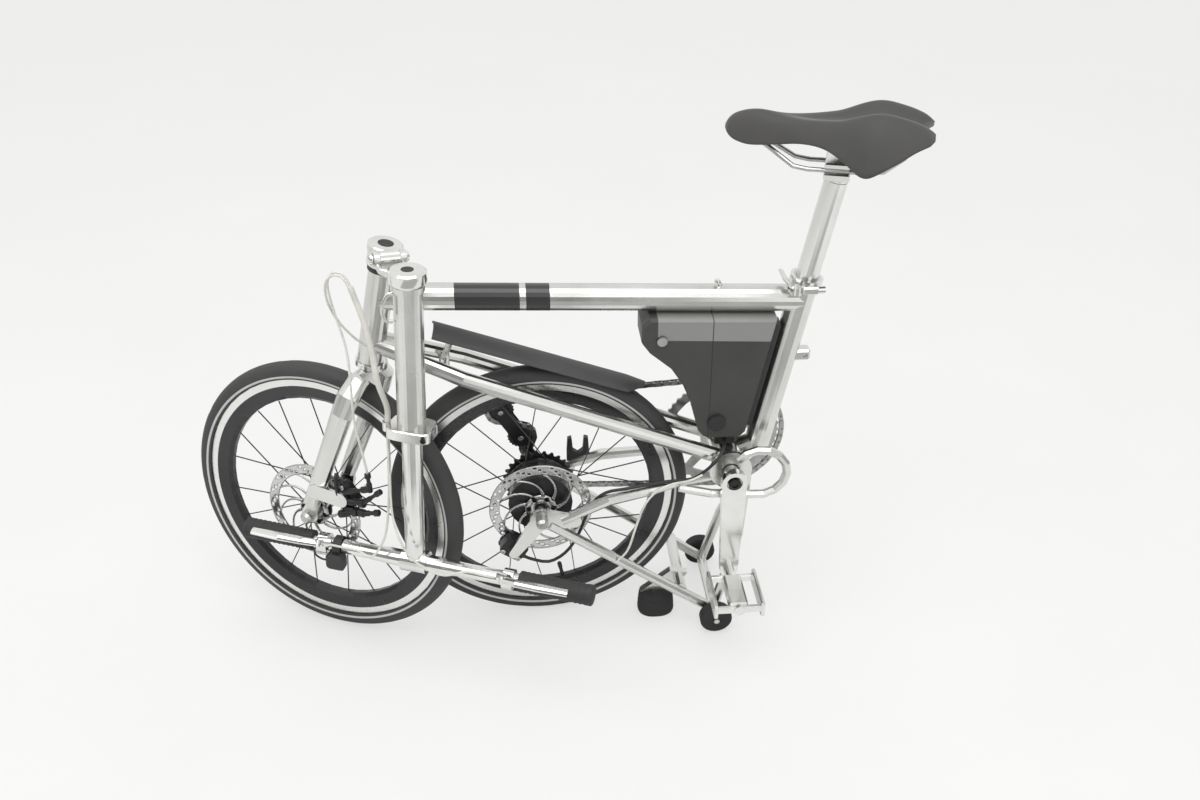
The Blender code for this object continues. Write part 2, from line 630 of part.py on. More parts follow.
triangle_mesh = cut(triangle_mesh, axle_bore)
node("rear_triangle", triangle_mesh, rear_fold, SILVER, 0.25, 1.0)
node("foot_bumper",
     block((FOOT_X, FOOT_Y, (FOOT_TOP + FLOOR) / 2), (0.060, 0.046, FOOT_TOP - FLOOR), 0.009),
     rear_fold, BLACK, 0.8, 0.0)


def axle(span):
    """Axle with nuts outside its two dropouts."""
    return revolve([(0.0001, -span - 0.014), (0.006, -span - 0.014), (AXLE_NUT, -span - 0.010),
                    (AXLE_NUT, -span), (AXLE_RADIUS, -span), (AXLE_RADIUS, span), (AXLE_NUT, span),
                    (AXLE_NUT, span + 0.010), (0.006, span + 0.014), (0.0001, span + 0.014)], 12)


node("rear_axle", moved(axle(DROPOUT_IN + PLATE + FIT), Matrix.Translation(REAR_HUB)),
     rear_fold, STEEL, 0.3, 1.0)

ROTOR_Y = 0.0403        # inner face of the rotor, on the left side of a wheel


def caliper(outer, turn, reach):
    """Brake body that straddles the rotor, on the left side."""
    slot_in = ROTOR_Y - 0.0010
    slot_out = ROTOR_Y + ROTOR_THICK + 0.0010
    inner = 0.0345
    back = reach + 0.017
    tip = reach - 0.018
    edge = ROTOR_RADIUS + 0.003
    outline = [(tip, -outer), (back, -outer), (back, -inner), (tip, -inner), (tip, -slot_in),
               (edge, -slot_in), (edge, -slot_out), (tip, -slot_out)]
    verts = []
    for s in (-0.021, 0.021):
        for r, y in outline:
            verts.append((r * cos(turn) - s * sin(turn), y, r * sin(turn) + s * cos(turn)))
    count = len(outline)
    faces = [tuple(range(count)), tuple(range(count, 2 * count))]
    for i in range(count):
        j = (i + 1) % count
        faces.append((i, j, j + count, i + count))
    return shape(verts, faces)


rear_body = caliper(DROPOUT_IN - FIT, CALIPER_TURN, CALIPER_REACH)
node("rear_caliper", moved(rear_body, Matrix.Translation(REAR_HUB)), rear_fold, BLACK, 0.4, 0.3)

# Rear brake cable: from the brake body, inside the lower stay, then along the top of the left chainstay
CABLE_RADIUS = 0.0025
cable_face = 0.021 + FIT
cable_at = Vector((hub_x, 0, hub_z))
cable_at += Vector((cos(CALIPER_TURN), 0, sin(CALIPER_TURN))) * (CALIPER_REACH + 0.006)
cable_way = Vector((-sin(CALIPER_TURN), 0, cos(CALIPER_TURN)))
cable_in = Vector((0, -0.0555, 0))
cable_path = [cable_at + cable_in + cable_way * cable_face, cable_at + cable_in + cable_way * 0.034,
              near(-0.288, 0.0555, -0.1560), near(-0.262, 0.0555, -0.1440), near(-0.240, 0.0550, -0.1120),
              near(-0.226, 0.0530, -0.0780), near(-0.216, 0.0505, -0.0520), near(-0.203, 0.0515, -0.0280),
              near(-0.180, 0.0585, -0.0205), near(-0.150, 0.0565, -0.0178), near(-0.125, 0.0535, -0.0155),
              near(-0.100, 0.0505, -0.0140), near(-0.078, 0.0515, -0.0125), near(-0.058, 0.0560, -0.0070),
              near(-0.046, 0.0575, 0.0030)]
node("rear_cable", rod(cable_path, CABLE_RADIUS, 8), rear_fold, RUBBER, 0.5, 0.0)

# Rollers that carry the folded bicycle
for label, side in (("left", -1), ("right", 1)):
    joint = empty("roller_" + label + "_joint", rear_fold,
                  Matrix.Translation((ROLLER_X, side * ROLLER_Y, ROLLER_Z)))
    half = ROLLER_WIDTH / 2
    ring = revolve([(0.0045 + BORE_FIT, -half), (ROLLER_RADIUS - 0.003, -half),
                    (ROLLER_RADIUS, -half + 0.003), (ROLLER_RADIUS, half - 0.003),
                    (ROLLER_RADIUS - 0.003, half), (0.0045 + BORE_FIT, half)], 20)
    node("roller_" + label, ring, joint, BLACK, 0.6, 0.0)


# Wheels: tyre, deep rim with machined track, hub with laced spokes, disc rotor
def tyre():
    base = RIM_SEAT + FIT
    reach = acos((base - TYRE_MID) / TYRE_HALF)
    profile = []
    for k in range(9):
        turn = reach * (k / 4 - 1)
        profile.append((TYRE_MID + TYRE_HALF * cos(turn), TYRE_HALF * sin(turn)))
    return revolve(profile, 48)


def rim():
    track = RIM_SEAT - TRACK_DEPTH
    inner = RIM_SEAT - RIM_DEPTH
    half = [(RIM_SEAT, RIM_HALF), (track, RIM_HALF), (inner + 0.006, 0.0085), (inner, 0.004)]
    return revolve([(r, -y) for r, y in reversed(half)] + half, 48)


def hub(profile, flange_radius, left, right):
    """Turned hub fused with spokes; the spokes stop just inside the rim."""
    mesh = revolve(profile, 24)
    spokes = []
    outer = RIM_SEAT - RIM_DEPTH - 3 * FIT
    for k in range(SPOKES):
        turn = 2 * pi * k / SPOKES
        flange = left if k % 2 else right
        lean = radians(38) if k % 4 < 2 else radians(-38)
        start = turn + lean
        inside = flange_radius - 0.004
        aside = SPOKE_CROSS if lean > 0 else -SPOKE_CROSS
        spokes.append(rod([(inside * cos(start), flange + aside, inside * sin(start)),
                           (outer * cos(turn), 0.12 * flange, outer * sin(turn))], SPOKE_RADIUS, 4))
    return combine(mesh, spokes, "UNION")


def rotor(arms):
    """Disc with a drilled track joined to its centre by swept arms."""
    y0 = -ROTOR_Y - ROTOR_THICK
    y1 = -ROTOR_Y
    outer = revolve([(0.064, y0), (ROTOR_RADIUS, y0), (ROTOR_RADIUS, y1), (0.064, y1)], 36)
    centre = revolve([(0.0085, y0), (0.0245, y0), (0.0245, y1), (0.0085, y1)], 20)
    links = []
    for k in range(arms):
        turn = 2 * pi * k / arms
        bend = turn + radians(38)
        links.append(prism(stadium(0.021 * cos(turn), 0.021 * sin(turn), 0.0042,
                                   0.067 * cos(bend), 0.067 * sin(bend), 0.0036, 2),
                           y0 + 0.0001, y1 - 0.0001))
    mesh = fuse(outer, centre, *links)
    holes = []
    for k in range(12):
        turn = 2 * pi * (k + 0.5) / 12
        reach = 0.0695 if k % 2 else 0.0745
        holes.append(cylinder((reach * cos(turn), -ROTOR_Y, reach * sin(turn)), 0.0027, 0.01, "Y", 5))
    return combine(mesh, holes, "DIFFERENCE")


rear_wheel = empty("rear_wheel", rear_fold, Matrix.Translation(REAR_HUB))
bore = AXLE_RADIUS + BORE_FIT
node("rear_tyre", tyre(), rear_wheel, RUBBER, 0.7, 0.0)
node("rear_rim", rim(), rear_wheel, BLACK, 0.35, 0.4)
MOTOR_RADIUS = 0.050
FREEHUB_RADIUS = 0.0165
motor_profile = [(bore, -0.040), (0.0235, -0.040), (0.0235, -0.036), (MOTOR_RADIUS - 0.010, -0.0335),
                 (MOTOR_RADIUS, -0.030), (MOTOR_RADIUS, -0.026), (MOTOR_RADIUS - 0.003, -0.024),
                 (MOTOR_RADIUS - 0.003, 0.016), (MOTOR_RADIUS, 0.018), (MOTOR_RADIUS, 0.022),
                 (MOTOR_RADIUS - 0.010, 0.0260), (FREEHUB_RADIUS, 0.0275), (FREEHUB_RADIUS, 0.0600),
                 (bore, 0.0600)]
node("rear_hub", hub(motor_profile, MOTOR_RADIUS, -0.028, 0.020), rear_wheel, BLACK, 0.35, 0.5)
node("rear_rotor", rotor(6), rear_wheel, STEEL, 0.25, 1.0)
SPROCKET_STEP = 0.0066
cassette_profile = []
sprockets = [0.024, 0.031, 0.039, 0.047, 0.057]
sprockets[0] = inside_chain(SPROCKET_PITCH)
for k, radius in reversed(list(enumerate(sprockets))):
    y = CHAIN_Y - SPROCKET_STEP * k
    core = FREEHUB_RADIUS + 0.004
    cassette_profile += [(core, y - 0.0008), (radius, y - 0.0008), (radius, y + 0.0008), (core, y + 0.0008)]
first = cassette_profile[0]
last = cassette_profile[-1]
cassette_profile = ([(FREEHUB_RADIUS + FIT, first[1])] + cassette_profile[1:-1]
                    + [(FREEHUB_RADIUS + FIT, last[1])])
node("cassette", revolve(cassette_profile, 18), rear_wheel, (0.10, 0.10, 0.10), 0.4, 0.9)

# Chain: a closed loop of plates round chainring, sprocket and the two pulleys
GUIDE = (REAR_HUB_X - 0.025, REAR_HUB_Z + 0.070)
TENSION = (REAR_HUB_X - 0.055, REAR_HUB_Z + 0.120)
loop = [(0.0, 0.0, RING_PITCH, 1), (*TENSION, PULLEY_PITCH, 1), (*GUIDE, PULLEY_PITCH, -1),
        (REAR_HUB_X, REAR_HUB_Z, SPROCKET_PITCH, 1)]


def leave_angle(a, b):
    """Heading of the straight run from one wheel of the loop to the next."""
    dx = b[0] - a[0]
    dz = b[1] - a[1]
    return atan2(dz, dx) + asin((a[3] * a[2] - b[3] * b[2]) / sqrt(dx * dx + dz * dz))


chain_line = []
for i, wheel in enumerate(loop):
    arrive = leave_angle(loop[i - 1], wheel) - wheel[3] * pi / 2
    leave = leave_angle(wheel, loop[(i + 1) % len(loop)]) - wheel[3] * pi / 2
    sweep = (leave - arrive) % (2 * pi) if wheel[3] > 0 else -((arrive - leave) % (2 * pi))
    steps = max(4, round(abs(sweep) * wheel[2] / CHAIN_PITCH * 2))
    for k in range(steps + 1):
        turn = arrive + sweep * k / steps
        chain_line.append(Vector((wheel[0] + wheel[2] * cos(turn), 0, wheel[1] + wheel[2] * sin(turn))))
lengths = [0.0]
for i, point in enumerate(chain_line):
    lengths.append(lengths[-1] + (chain_line[(i + 1) % len(chain_line)] - point).length)


def chain_point(distance):
    distance %= lengths[-1]
    for i in range(len(chain_line)):
        if distance <= lengths[i + 1]:
            share = (distance - lengths[i]) / max(1e-9, lengths[i + 1] - lengths[i])
            return chain_line[i].lerp(chain_line[(i + 1) % len(chain_line)], share)
    return chain_line[0]


links = 2 * round(lengths[-1] / CHAIN_PITCH / 2)
pitch = lengths[-1] / links
verts = []
faces = []
for k in range(links):
    half = CHAIN_HALF if k % 2 else CHAIN_HALF - 0.0010
    tall = CHAIN_HEIGHT if k % 2 else CHAIN_HEIGHT - 0.0006
    for share in (0.04, 0.96):
        at = (k + share) * pitch
        here = chain_point(at)
        way = (chain_point(at + 0.002) - chain_point(at - 0.002)).normalized()
        out = Vector((way.z, 0, -way.x))
        for u, v in ((-1, -1), (1, -1), (1, 1), (-1, 1)):
            verts.append(here + Vector((0, CHAIN_Y + u * half, 0)) + out * tall * v)
rings = 2 * links
for i in range(rings):
    for k in range(4):
        j = (k + 1) % 4
        a = 4 * i
        b = 4 * ((i + 1) % rings)
        faces.append((a + k, a + j, b + j, b + k))
node("chain", shape(verts, faces), rear_fold, STEEL, 0.35, 1.0, 20)

# Rear derailleur: knuckle on the hanger, cage with two pulleys
PULLEY_OUT = inside_chain(PULLEY_PITCH)
CAGE_IN = CHAIN_Y - CHAIN_HALF - 0.0016
CAGE_OUT = CHAIN_Y + CHAIN_HALF + 0.0016
CAGE_THICK = 0.0018
knuckle_low = DROPOUT_IN + PLATE + FIT
body_mesh = fuse(
    rod([(HANGER[0], knuckle_low, HANGER[1]), (HANGER[0], knuckle_low + 0.014, HANGER[1])], 0.010, 18),
    rod([(HANGER[0], knuckle_low + 0.007, HANGER[1]), (GUIDE[0], knuckle_low + 0.007, GUIDE[1])], 0.0075, 14),
    rod([(GUIDE[0], CAGE_OUT + CAGE_THICK + FIT, GUIDE[1]), (GUIDE[0], knuckle_low + 0.012, GUIDE[1])],
        0.0095, 18))
node("derailleur_body", body_mesh, rear_fold, BLACK, 0.4, 0.4)
cage_shape = stadium(*GUIDE, 0.012, *TENSION, 0.012)
cage_mesh = fuse(
    prism(cage_shape, CAGE_OUT, CAGE_OUT + CAGE_THICK),
    prism(cage_shape, CAGE_IN - CAGE_THICK, CAGE_IN),
    rod([(GUIDE[0], CAGE_IN - 0.001, GUIDE[1]), (GUIDE[0], CAGE_OUT + 0.001, GUIDE[1])], 0.0030, 12),
    rod([(TENSION[0], CAGE_IN - 0.001, TENSION[1]), (TENSION[0], CAGE_OUT + 0.001, TENSION[1])], 0.0030, 12))
node("derailleur_cage", cage_mesh, rear_fold, BLACK, 0.4, 0.4)
for label, spot in (("guide_pulley", GUIDE), ("tension_pulley", TENSION)):
    ring = revolve([(0.0030 + BORE_FIT, -0.0026), (PULLEY_OUT, -0.0026), (PULLEY_OUT, 0.0026),
                    (0.0030 + BORE_FIT, 0.0026)], 16)
    joint = empty(label + "_joint", rear_fold, Matrix.Translation((spot[0], CHAIN_Y, spot[1])))
    node(label, ring, joint, BLACK, 0.5, 0.0)

# Crank set
crank_joint = empty("crank_joint", root, Matrix.Identity(4))
spindle_half = CRANK_IN + CRANK_THICK - 0.003
node("crank_axle", rod([(0, -spindle_half, 0), (0, spindle_half, 0)], SPINDLE_RADIUS, 24),
     crank_joint, STEEL, 0.3, 1.0)
for label, side in (("left", -1), ("right", 1)):
    low, high = sorted((side * CRANK_IN, side * (CRANK_IN + CRANK_THICK)))
    arm = prism(stadium(0, 0, 0.0195, 0, side * CRANK_LENGTH, 0.0140, 8), low, high)
    arm = cut(arm, cylinder((0, 0, 0), SPINDLE_RADIUS + BORE_FIT, 0.2, "Y", 24))
    node(label + "_crank", arm, crank_joint, CHROME, 0.2, 1.0)
    face = side * (CRANK_IN + CRANK_THICK + FIT)
    joint = empty(label + "_pedal_joint", crank_joint, Matrix.Translation((0, face, side * CRANK_LENGTH)))
    cage = []
    for s in (-1, 1):
        cage.append(block((s * 0.036, side * 0.055, 0), (0.006, 0.084, 0.026), 0.0015))
        cage.append(block((0, side * (0.055 + s * 0.036), 0), (0.074, 0.007, 0.012), 0.0015))
    node(label + "_pedal",
         fuse(rod([(0, 0, 0), (0, side * 0.096, 0)], 0.0085, 16),
              block((0, side * 0.055, 0), (0.028, 0.070, 0.020), 0.003), *cage),
         joint, CHROME, 0.25, 1.0)
RING_OUT = inside_chain(RING_PITCH)
ring_outline = []
for k in range(RING_TEETH):
    for share, depth in ((0.0, 0.0), (0.50, 0.0032)):
        turn = 2 * pi * (k + share) / RING_TEETH
        ring_outline.append(((RING_OUT - depth) * cos(turn), (RING_OUT - depth) * sin(turn)))
toothed = cut(prism(ring_outline, CHAIN_Y - 0.0018, CHAIN_Y + 0.0018),
              cylinder((0, CHAIN_Y, 0), 0.080, 0.02, "Y", 30))
spider = [rod([(0, CHAIN_Y - 0.003, 0), (0, CRANK_IN - FIT, 0)], 0.026, 24)]
for k in range(5):
    turn = 2 * pi * (k + 0.25) / 5
    spider_arm = stadium(0.020 * cos(turn), 0.020 * sin(turn), 0.010,
                         0.084 * cos(turn), 0.084 * sin(turn), 0.0065, 6)
    spider.append(prism(spider_arm, CHAIN_Y - 0.0012, CHAIN_Y + 0.0012))
chainring_mesh = cut(fuse(toothed, *spider),
                     cylinder((0, CHAIN_Y, 0), SPINDLE_RADIUS + BORE_FIT, 0.05, "Y", 24))
node("chainring", chainring_mesh, crank_joint, STEEL, 0.3, 1.0)

# Fork and steering, in a frame that leans with the head tube and is turned at rest
steering = empty("steering", root, Matrix.Translation(HEAD_LOW) @ Matrix.Rotation(HEAD_TILT, 4, "Y")
                 @ Matrix.Rotation(-STEER_REST, 4, "Z"))
wheel_lean = asin(sin(HEAD_TILT) * sin(STEER_REST))
front_hub_z = FLOOR + TYRE_MID * cos(wheel_lean) + TYRE_HALF
fork_length = (HEAD_Z + sin(HEAD_TILT) * FORK_RAKE * cos(STEER_REST) - front_hub_z) / cos(HEAD_TILT)
front_hub = Vector((-FORK_RAKE, 0, -fork_length))
CROWN_RADIUS = 0.0120
crown_z = -2 * FIT - HEADSET_HEIGHT - CROWN_RADIUS
drop_mid = FORK_DROP_IN + PLATE / 2
steerer_top = HEAD_LENGTH + 2 * FIT + HEADSET_HEIGHT
FRONT_CALIPER_TURN = radians(48)
FRONT_CALIPER_OUT = 0.0600
tab_at = (front_hub.x + CALIPER_REACH * cos(FRONT_CALIPER_TURN),
          front_hub.z + CALIPER_REACH * sin(FRONT_CALIPER_TURN))
blade = rod([(0, 0.026, crown_z), (-0.002, 0.050, crown_z - 0.022), (-0.006, 0.0555, crown_z - 0.050),
             (-FORK_RAKE, drop_mid, -fork_length + 0.020)],
            [0.011, 0.0120, 0.0120, BLADE_RADIUS - 0.001], 16, BLADE_WIDE)
drop = prism(stadium(-FORK_RAKE, -fork_length, 0.014, -FORK_RAKE + 0.003, -fork_length + 0.024, 0.009),
             FORK_DROP_IN, FORK_DROP_IN + PLATE)
fork_mesh = fuse(
    rod([(0, 0, crown_z), (0, 0, steerer_top + 0.024)], STEERER_RADIUS, 24),
    rod([(0, -0.036, crown_z), (0, 0.036, crown_z)], CROWN_RADIUS, 20),
    blade, mirrored(blade), drop, mirrored(drop),
    prism(stadium(-0.030, tab_at[1] - 0.004, 0.012, *tab_at, 0.012), -FRONT_CALIPER_OUT - FIT - 0.005,
          -FRONT_CALIPER_OUT - FIT))
fork_mesh = cut(fork_mesh, rod([front_hub - Vector((0, 0.1, 0)), front_hub + Vector((0, 0.1, 0))],
                               AXLE_RADIUS + BORE_FIT, 16))
node("fork", fork_mesh, steering, SILVER, 0.22, 1.0)
node("front_axle", moved(axle(FORK_DROP_IN + PLATE + FIT), Matrix.Translation(front_hub)),
     steering, STEEL, 0.3, 1.0)
node("front_caliper",
     moved(caliper(FRONT_CALIPER_OUT, FRONT_CALIPER_TURN, CALIPER_REACH), Matrix.Translation(front_hub)),
     steering, BLACK, 0.4, 0.3)
front_wheel = empty("front_wheel", steering, Matrix.Translation(front_hub))
node("front_tyre", tyre(), front_wheel, RUBBER, 0.7, 0.0)
node("front_rim", rim(), front_wheel, BLACK, 0.35, 0.4)
front_profile = [(bore, -0.040), (0.0170, -0.040), (0.0170, -0.035), (0.0240, -0.033), (0.0240, -0.029),
                 (0.0130, -0.024), (0.0130, 0.018), (0.0240, 0.021), (0.0240, 0.025), (0.0120, 0.028),
                 (0.0120, 0.0470), (bore, 0.0470)]
node("front_hub", hub(front_profile, 0.0240, -0.031, 0.023), front_wheel, BLACK, 0.35, 0.5)
node("front_rotor", rotor(6), front_wheel, STEEL, 0.25, 1.0)

# Post hinge: the lower half is clamped to the steerer, the upper carries the post
hinge_axis = Vector((cos(HINGE_TURN) * cos(HINGE_RISE), sin(HINGE_TURN) * cos(HINGE_RISE), sin(HINGE_RISE)))
hinge_z = steerer_top + HINGE_LIFT
hinge_at = Vector((HINGE_X, HINGE_Y, hinge_z))
hinge_out = Vector((HINGE_X, HINGE_Y, 0)).normalized()
PIN_RADIUS = 0.0045
KNUCKLE = 0.0105
KNUCKLE_HALF = 0.014
base_low = steerer_top + FIT
base_high = hinge_z - 0.0015
base_mesh = fuse(
    rod([(0, 0, base_low), (0, 0, base_high)], 0.0235, 28),
    rod([(0, 0, (base_low + base_high) / 2), hinge_at - Vector((0, 0, 0.012)) - hinge_out * 0.004],
        0.0105, 14),
    rod([hinge_at - hinge_axis * KNUCKLE_HALF, hinge_at + hinge_axis * KNUCKLE_HALF], KNUCKLE, 20))
base_mesh = cut(base_mesh,
                rod([(0, 0, 0), (0, 0, steerer_top + 0.024 + FIT)], STEERER_RADIUS + BORE_FIT, 24),
                rod([hinge_at - hinge_axis * 0.05, hinge_at + hinge_axis * 0.05], PIN_RADIUS + BORE_FIT, 14))
node("hinge_base", base_mesh, steering, CHROME, 0.18, 1.0)
post_hinge = empty("post_hinge", steering,
                   Matrix.Translation(hinge_at) @ Matrix.Rotation(POST_FOLD, 4, hinge_axis))
post_x = -HINGE_X
post_y = -HINGE_Y
INNER_RADIUS = 0.0150
STEM_LOW = 0.0015
across = Vector((post_x, post_y, 0))
across = (across - hinge_axis * across.dot(hinge_axis)).normalized()
ear = []
for s in (-1, 1):
    a = hinge_axis * s * (KNUCKLE_HALF + FIT)
    b = hinge_axis * s * (KNUCKLE_HALF + 0.009)
    ear.append(rod([a, b], KNUCKLE, 20))
    ear_mid = (a + b) / 2
    ear.append(rod([ear_mid + Vector((0, 0, 0.0035)), ear_mid + across * 0.020 + Vector((0, 0, 0.010)),
                    Vector((post_x, post_y, 0.018))], [0.0040, 0.0043, 0.012], 12))
pin = rod([hinge_axis * -(KNUCKLE_HALF + 0.010), hinge_axis * (KNUCKLE_HALF + 0.010)], PIN_RADIUS, 14)
stem_mesh = fuse(
    rod([(post_x, post_y, STEM_LOW), (post_x, post_y, 0.030)], 0.0235, 28),
    rod([(post_x, post_y, 0.015), (post_x, post_y, STEM_LENGTH)], STEM_RADIUS, 28), pin, *ear)
stem_mesh = cut(stem_mesh,
                rod([(post_x, post_y, 0.040), (post_x, post_y, STEM_LENGTH + 0.05)],
                    INNER_RADIUS + BORE_FIT, 24))
node("post_tube", stem_mesh, post_hinge, SILVER, 0.2, 1.0)
CLAMP_HALF = 0.010
ring = revolve([(STEM_RADIUS + FIT, -CLAMP_HALF), (STEM_RADIUS + 0.004, -CLAMP_HALF),
                (STEM_RADIUS + 0.004, CLAMP_HALF), (STEM_RADIUS + FIT, CLAMP_HALF)], 28)
ring = moved(ring, Matrix.Rotation(pi / 2, 4, "X"))
guide = block((-STEM_RADIUS - 0.010, 0, 0), (0.016, 0.012, 0.012), 0.002)
clamp_place = Matrix.Translation((post_x, post_y, STEM_LENGTH - CLAMP_HALF - 0.002))
node("post_clamp", moved(fuse(ring, guide), clamp_place), post_hinge, CHROME, 0.2, 1.0)

# Handlebar on its sliding inner post, with grips, brake brackets and levers
bar_slide = empty("bar_slide", post_hinge, Matrix.Translation((post_x, post_y, STEM_LENGTH)))
bar_z = POST_LENGTH - STEM_LENGTH
bar_points = [(0, y, bar_z) for y in (-BAR_HALF, -0.075, -0.045, 0.045, 0.075, BAR_HALF)]
bar_mesh = fuse(
    rod([(0, 0, -0.100), (0, 0, bar_z - 0.004)], INNER_RADIUS, 24),
    rod(bar_points, [BAR_RADIUS, BAR_RADIUS, 0.0127, 0.0127, BAR_RADIUS, BAR_RADIUS], 16),
    rod([(0, -0.020, bar_z), (0, 0.020, bar_z)], 0.0175, 24))
node("handlebar", bar_mesh, bar_slide, CHROME, 0.2, 1.0)
BRACKET_Y = BAR_HALF - GRIP_LENGTH - 0.016
LEVER_X = -0.0285 - FIT - 0.0060     # lever pivot, just clear of its bracket
for label, side in (("left", -1), ("right", 1)):
    inner = side * (BAR_HALF - GRIP_LENGTH)
    grip_low, grip_high = sorted((inner, side * (BAR_HALF + FIT)))
    grip = revolve([(BAR_RADIUS + FIT, grip_low), (GRIP_RADIUS, grip_low), (GRIP_RADIUS, grip_high),
                    (BAR_RADIUS + FIT, grip_high)], 18)
    node(label + "_grip", moved(grip, Matrix.Translation((0, 0, bar_z))), bar_slide, RUBBER, 0.8, 0.0)
    clamp = revolve([(BAR_RADIUS + FIT, -0.008), (BAR_RADIUS + 0.005, -0.008), (BAR_RADIUS + 0.005, 0.008),
                     (BAR_RADIUS + FIT, 0.008)], 18)
    body = rod([(-0.012, -side * 0.012, -0.002), (-0.022, side * 0.004, -0.002)], [0.008, 0.0065], 14)
    bracket = fuse(clamp, block((-0.0215, 0, 0), (0.014, 0.014, 0.010), 0.002), body)
    bracket = cut(bracket, rod([(0, -0.05, 0), (0, 0.05, 0)], BAR_RADIUS + FIT, 24))
    about_bar = Matrix.Translation((0, side * BRACKET_Y, bar_z)) @ Matrix.Rotation(LEVER_TURN, 4, "Y")
    node(label + "_bracket", moved(bracket, about_bar), bar_slide, BLACK, 0.4, 0.2)
    joint = empty(label + "_lever_joint", bar_slide, about_bar @ Matrix.Translation((LEVER_X, 0, 0)))
    lever = fuse(rod([(0, 0, -0.005), (0, 0, 0.005)], 0.0060, 14),
                 rod([(-0.002, 0, 0), (-0.010, side * 0.022, 0), (-0.014, side * 0.055, 0),
                      (-0.010, side * 0.100, 0)],
                     [0.0040, 0.0044, 0.0046, 0.0040], 12, 1.65))
    node(label + "_lever", lever, joint, CHROME, 0.15, 1.0)

# The bicycle stands with the middle of its outline over the origin
bpy.context.view_layer.update()
corners = []
for obj in bpy.data.objects:
    if obj.type == "MESH":
        corners += [obj.matrix_world @ v.co for v in obj.data.vertices]
root.location = (-(min(c.x for c in corners) + max(c.x for c in corners)) / 2,
                 -(min(c.y for c in corners) + max(c.y for c in corners)) / 2,
                 -min(c.z for c in corners))
bpy.context.view_layer.update()
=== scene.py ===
import json
from functools import partial
from math import acos, asin, atan2, cos, pi, radians, sin, sqrt

import bmesh
import bpy
from mathutils import Matrix, Vector


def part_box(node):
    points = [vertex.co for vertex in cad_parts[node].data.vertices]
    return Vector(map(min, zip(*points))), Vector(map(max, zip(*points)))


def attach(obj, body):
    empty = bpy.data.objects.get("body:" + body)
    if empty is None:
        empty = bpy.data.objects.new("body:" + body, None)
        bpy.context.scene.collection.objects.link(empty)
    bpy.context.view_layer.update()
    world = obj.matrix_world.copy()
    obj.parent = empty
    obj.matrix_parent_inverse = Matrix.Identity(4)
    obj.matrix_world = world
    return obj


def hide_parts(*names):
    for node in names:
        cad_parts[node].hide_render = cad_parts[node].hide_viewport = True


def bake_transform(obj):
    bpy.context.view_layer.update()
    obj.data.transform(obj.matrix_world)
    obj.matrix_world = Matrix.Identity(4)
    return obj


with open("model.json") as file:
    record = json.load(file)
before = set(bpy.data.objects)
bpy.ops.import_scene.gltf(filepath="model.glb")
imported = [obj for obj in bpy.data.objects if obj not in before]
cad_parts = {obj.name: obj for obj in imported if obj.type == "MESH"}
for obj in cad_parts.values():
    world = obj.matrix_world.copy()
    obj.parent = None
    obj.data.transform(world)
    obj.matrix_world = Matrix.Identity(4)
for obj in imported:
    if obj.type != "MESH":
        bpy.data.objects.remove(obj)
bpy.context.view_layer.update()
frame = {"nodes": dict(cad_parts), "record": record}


# Camera: a standing person's view from the bicycle's left, looking down at the folded bicycle.
# Places are measured from the bottom bracket, which the rear half folds about, or from a joint or a piece.
scene = bpy.context.scene
joint = {j["name"]: j for j in frame["record"]["behaviour"]["joints"]}
bracket = Vector(joint["rear_fold"]["pos_m"])
CAMERA_AT = bracket + Vector((-0.349, -1.641, 1.179))
YAW = radians(5.28)
PITCH = radians(33.0)
forward = Vector((sin(YAW) * cos(PITCH), cos(YAW) * cos(PITCH), -sin(PITCH)))
right = Vector((cos(YAW), -sin(YAW), 0))
above = right.cross(forward)
lens = bpy.data.cameras.new("camera")
lens.sensor_width = 36.0
lens.lens = 39.0
lens.clip_start = 0.05
camera = bpy.data.objects.new("camera", lens)
scene.collection.objects.link(camera)
turn = Matrix((right, above, -forward)).transposed().to_4x4()
camera.matrix_world = Matrix.Translation(CAMERA_AT) @ turn
scene.camera = camera


# Stage: a plain painted floor that runs into a pale room, lit by soft boxes on the ceiling and at the window.
# The room is bright behind the bicycle and darker behind the camera, and a grey sheet on the floor under the camera
# stands in for shade there: it shows only as a painted dark reflection in the bright metal.
def shade(material, kind, props=None, **sockets):
    """A shader node with its sockets set or linked."""
    made = material.node_tree.nodes.new("ShaderNode" + kind)
    for key, value in (props or {}).items():
        setattr(made, key, value)
    for key, value in sockets.items():
        spot = made.inputs[int(key[1:])] if key[0] == "_" else made.inputs[key.replace("_", " ")]
        if isinstance(value, bpy.types.NodeSocket):
            material.node_tree.links.new(value, spot)
        else:
            spot.default_value = value
    return made


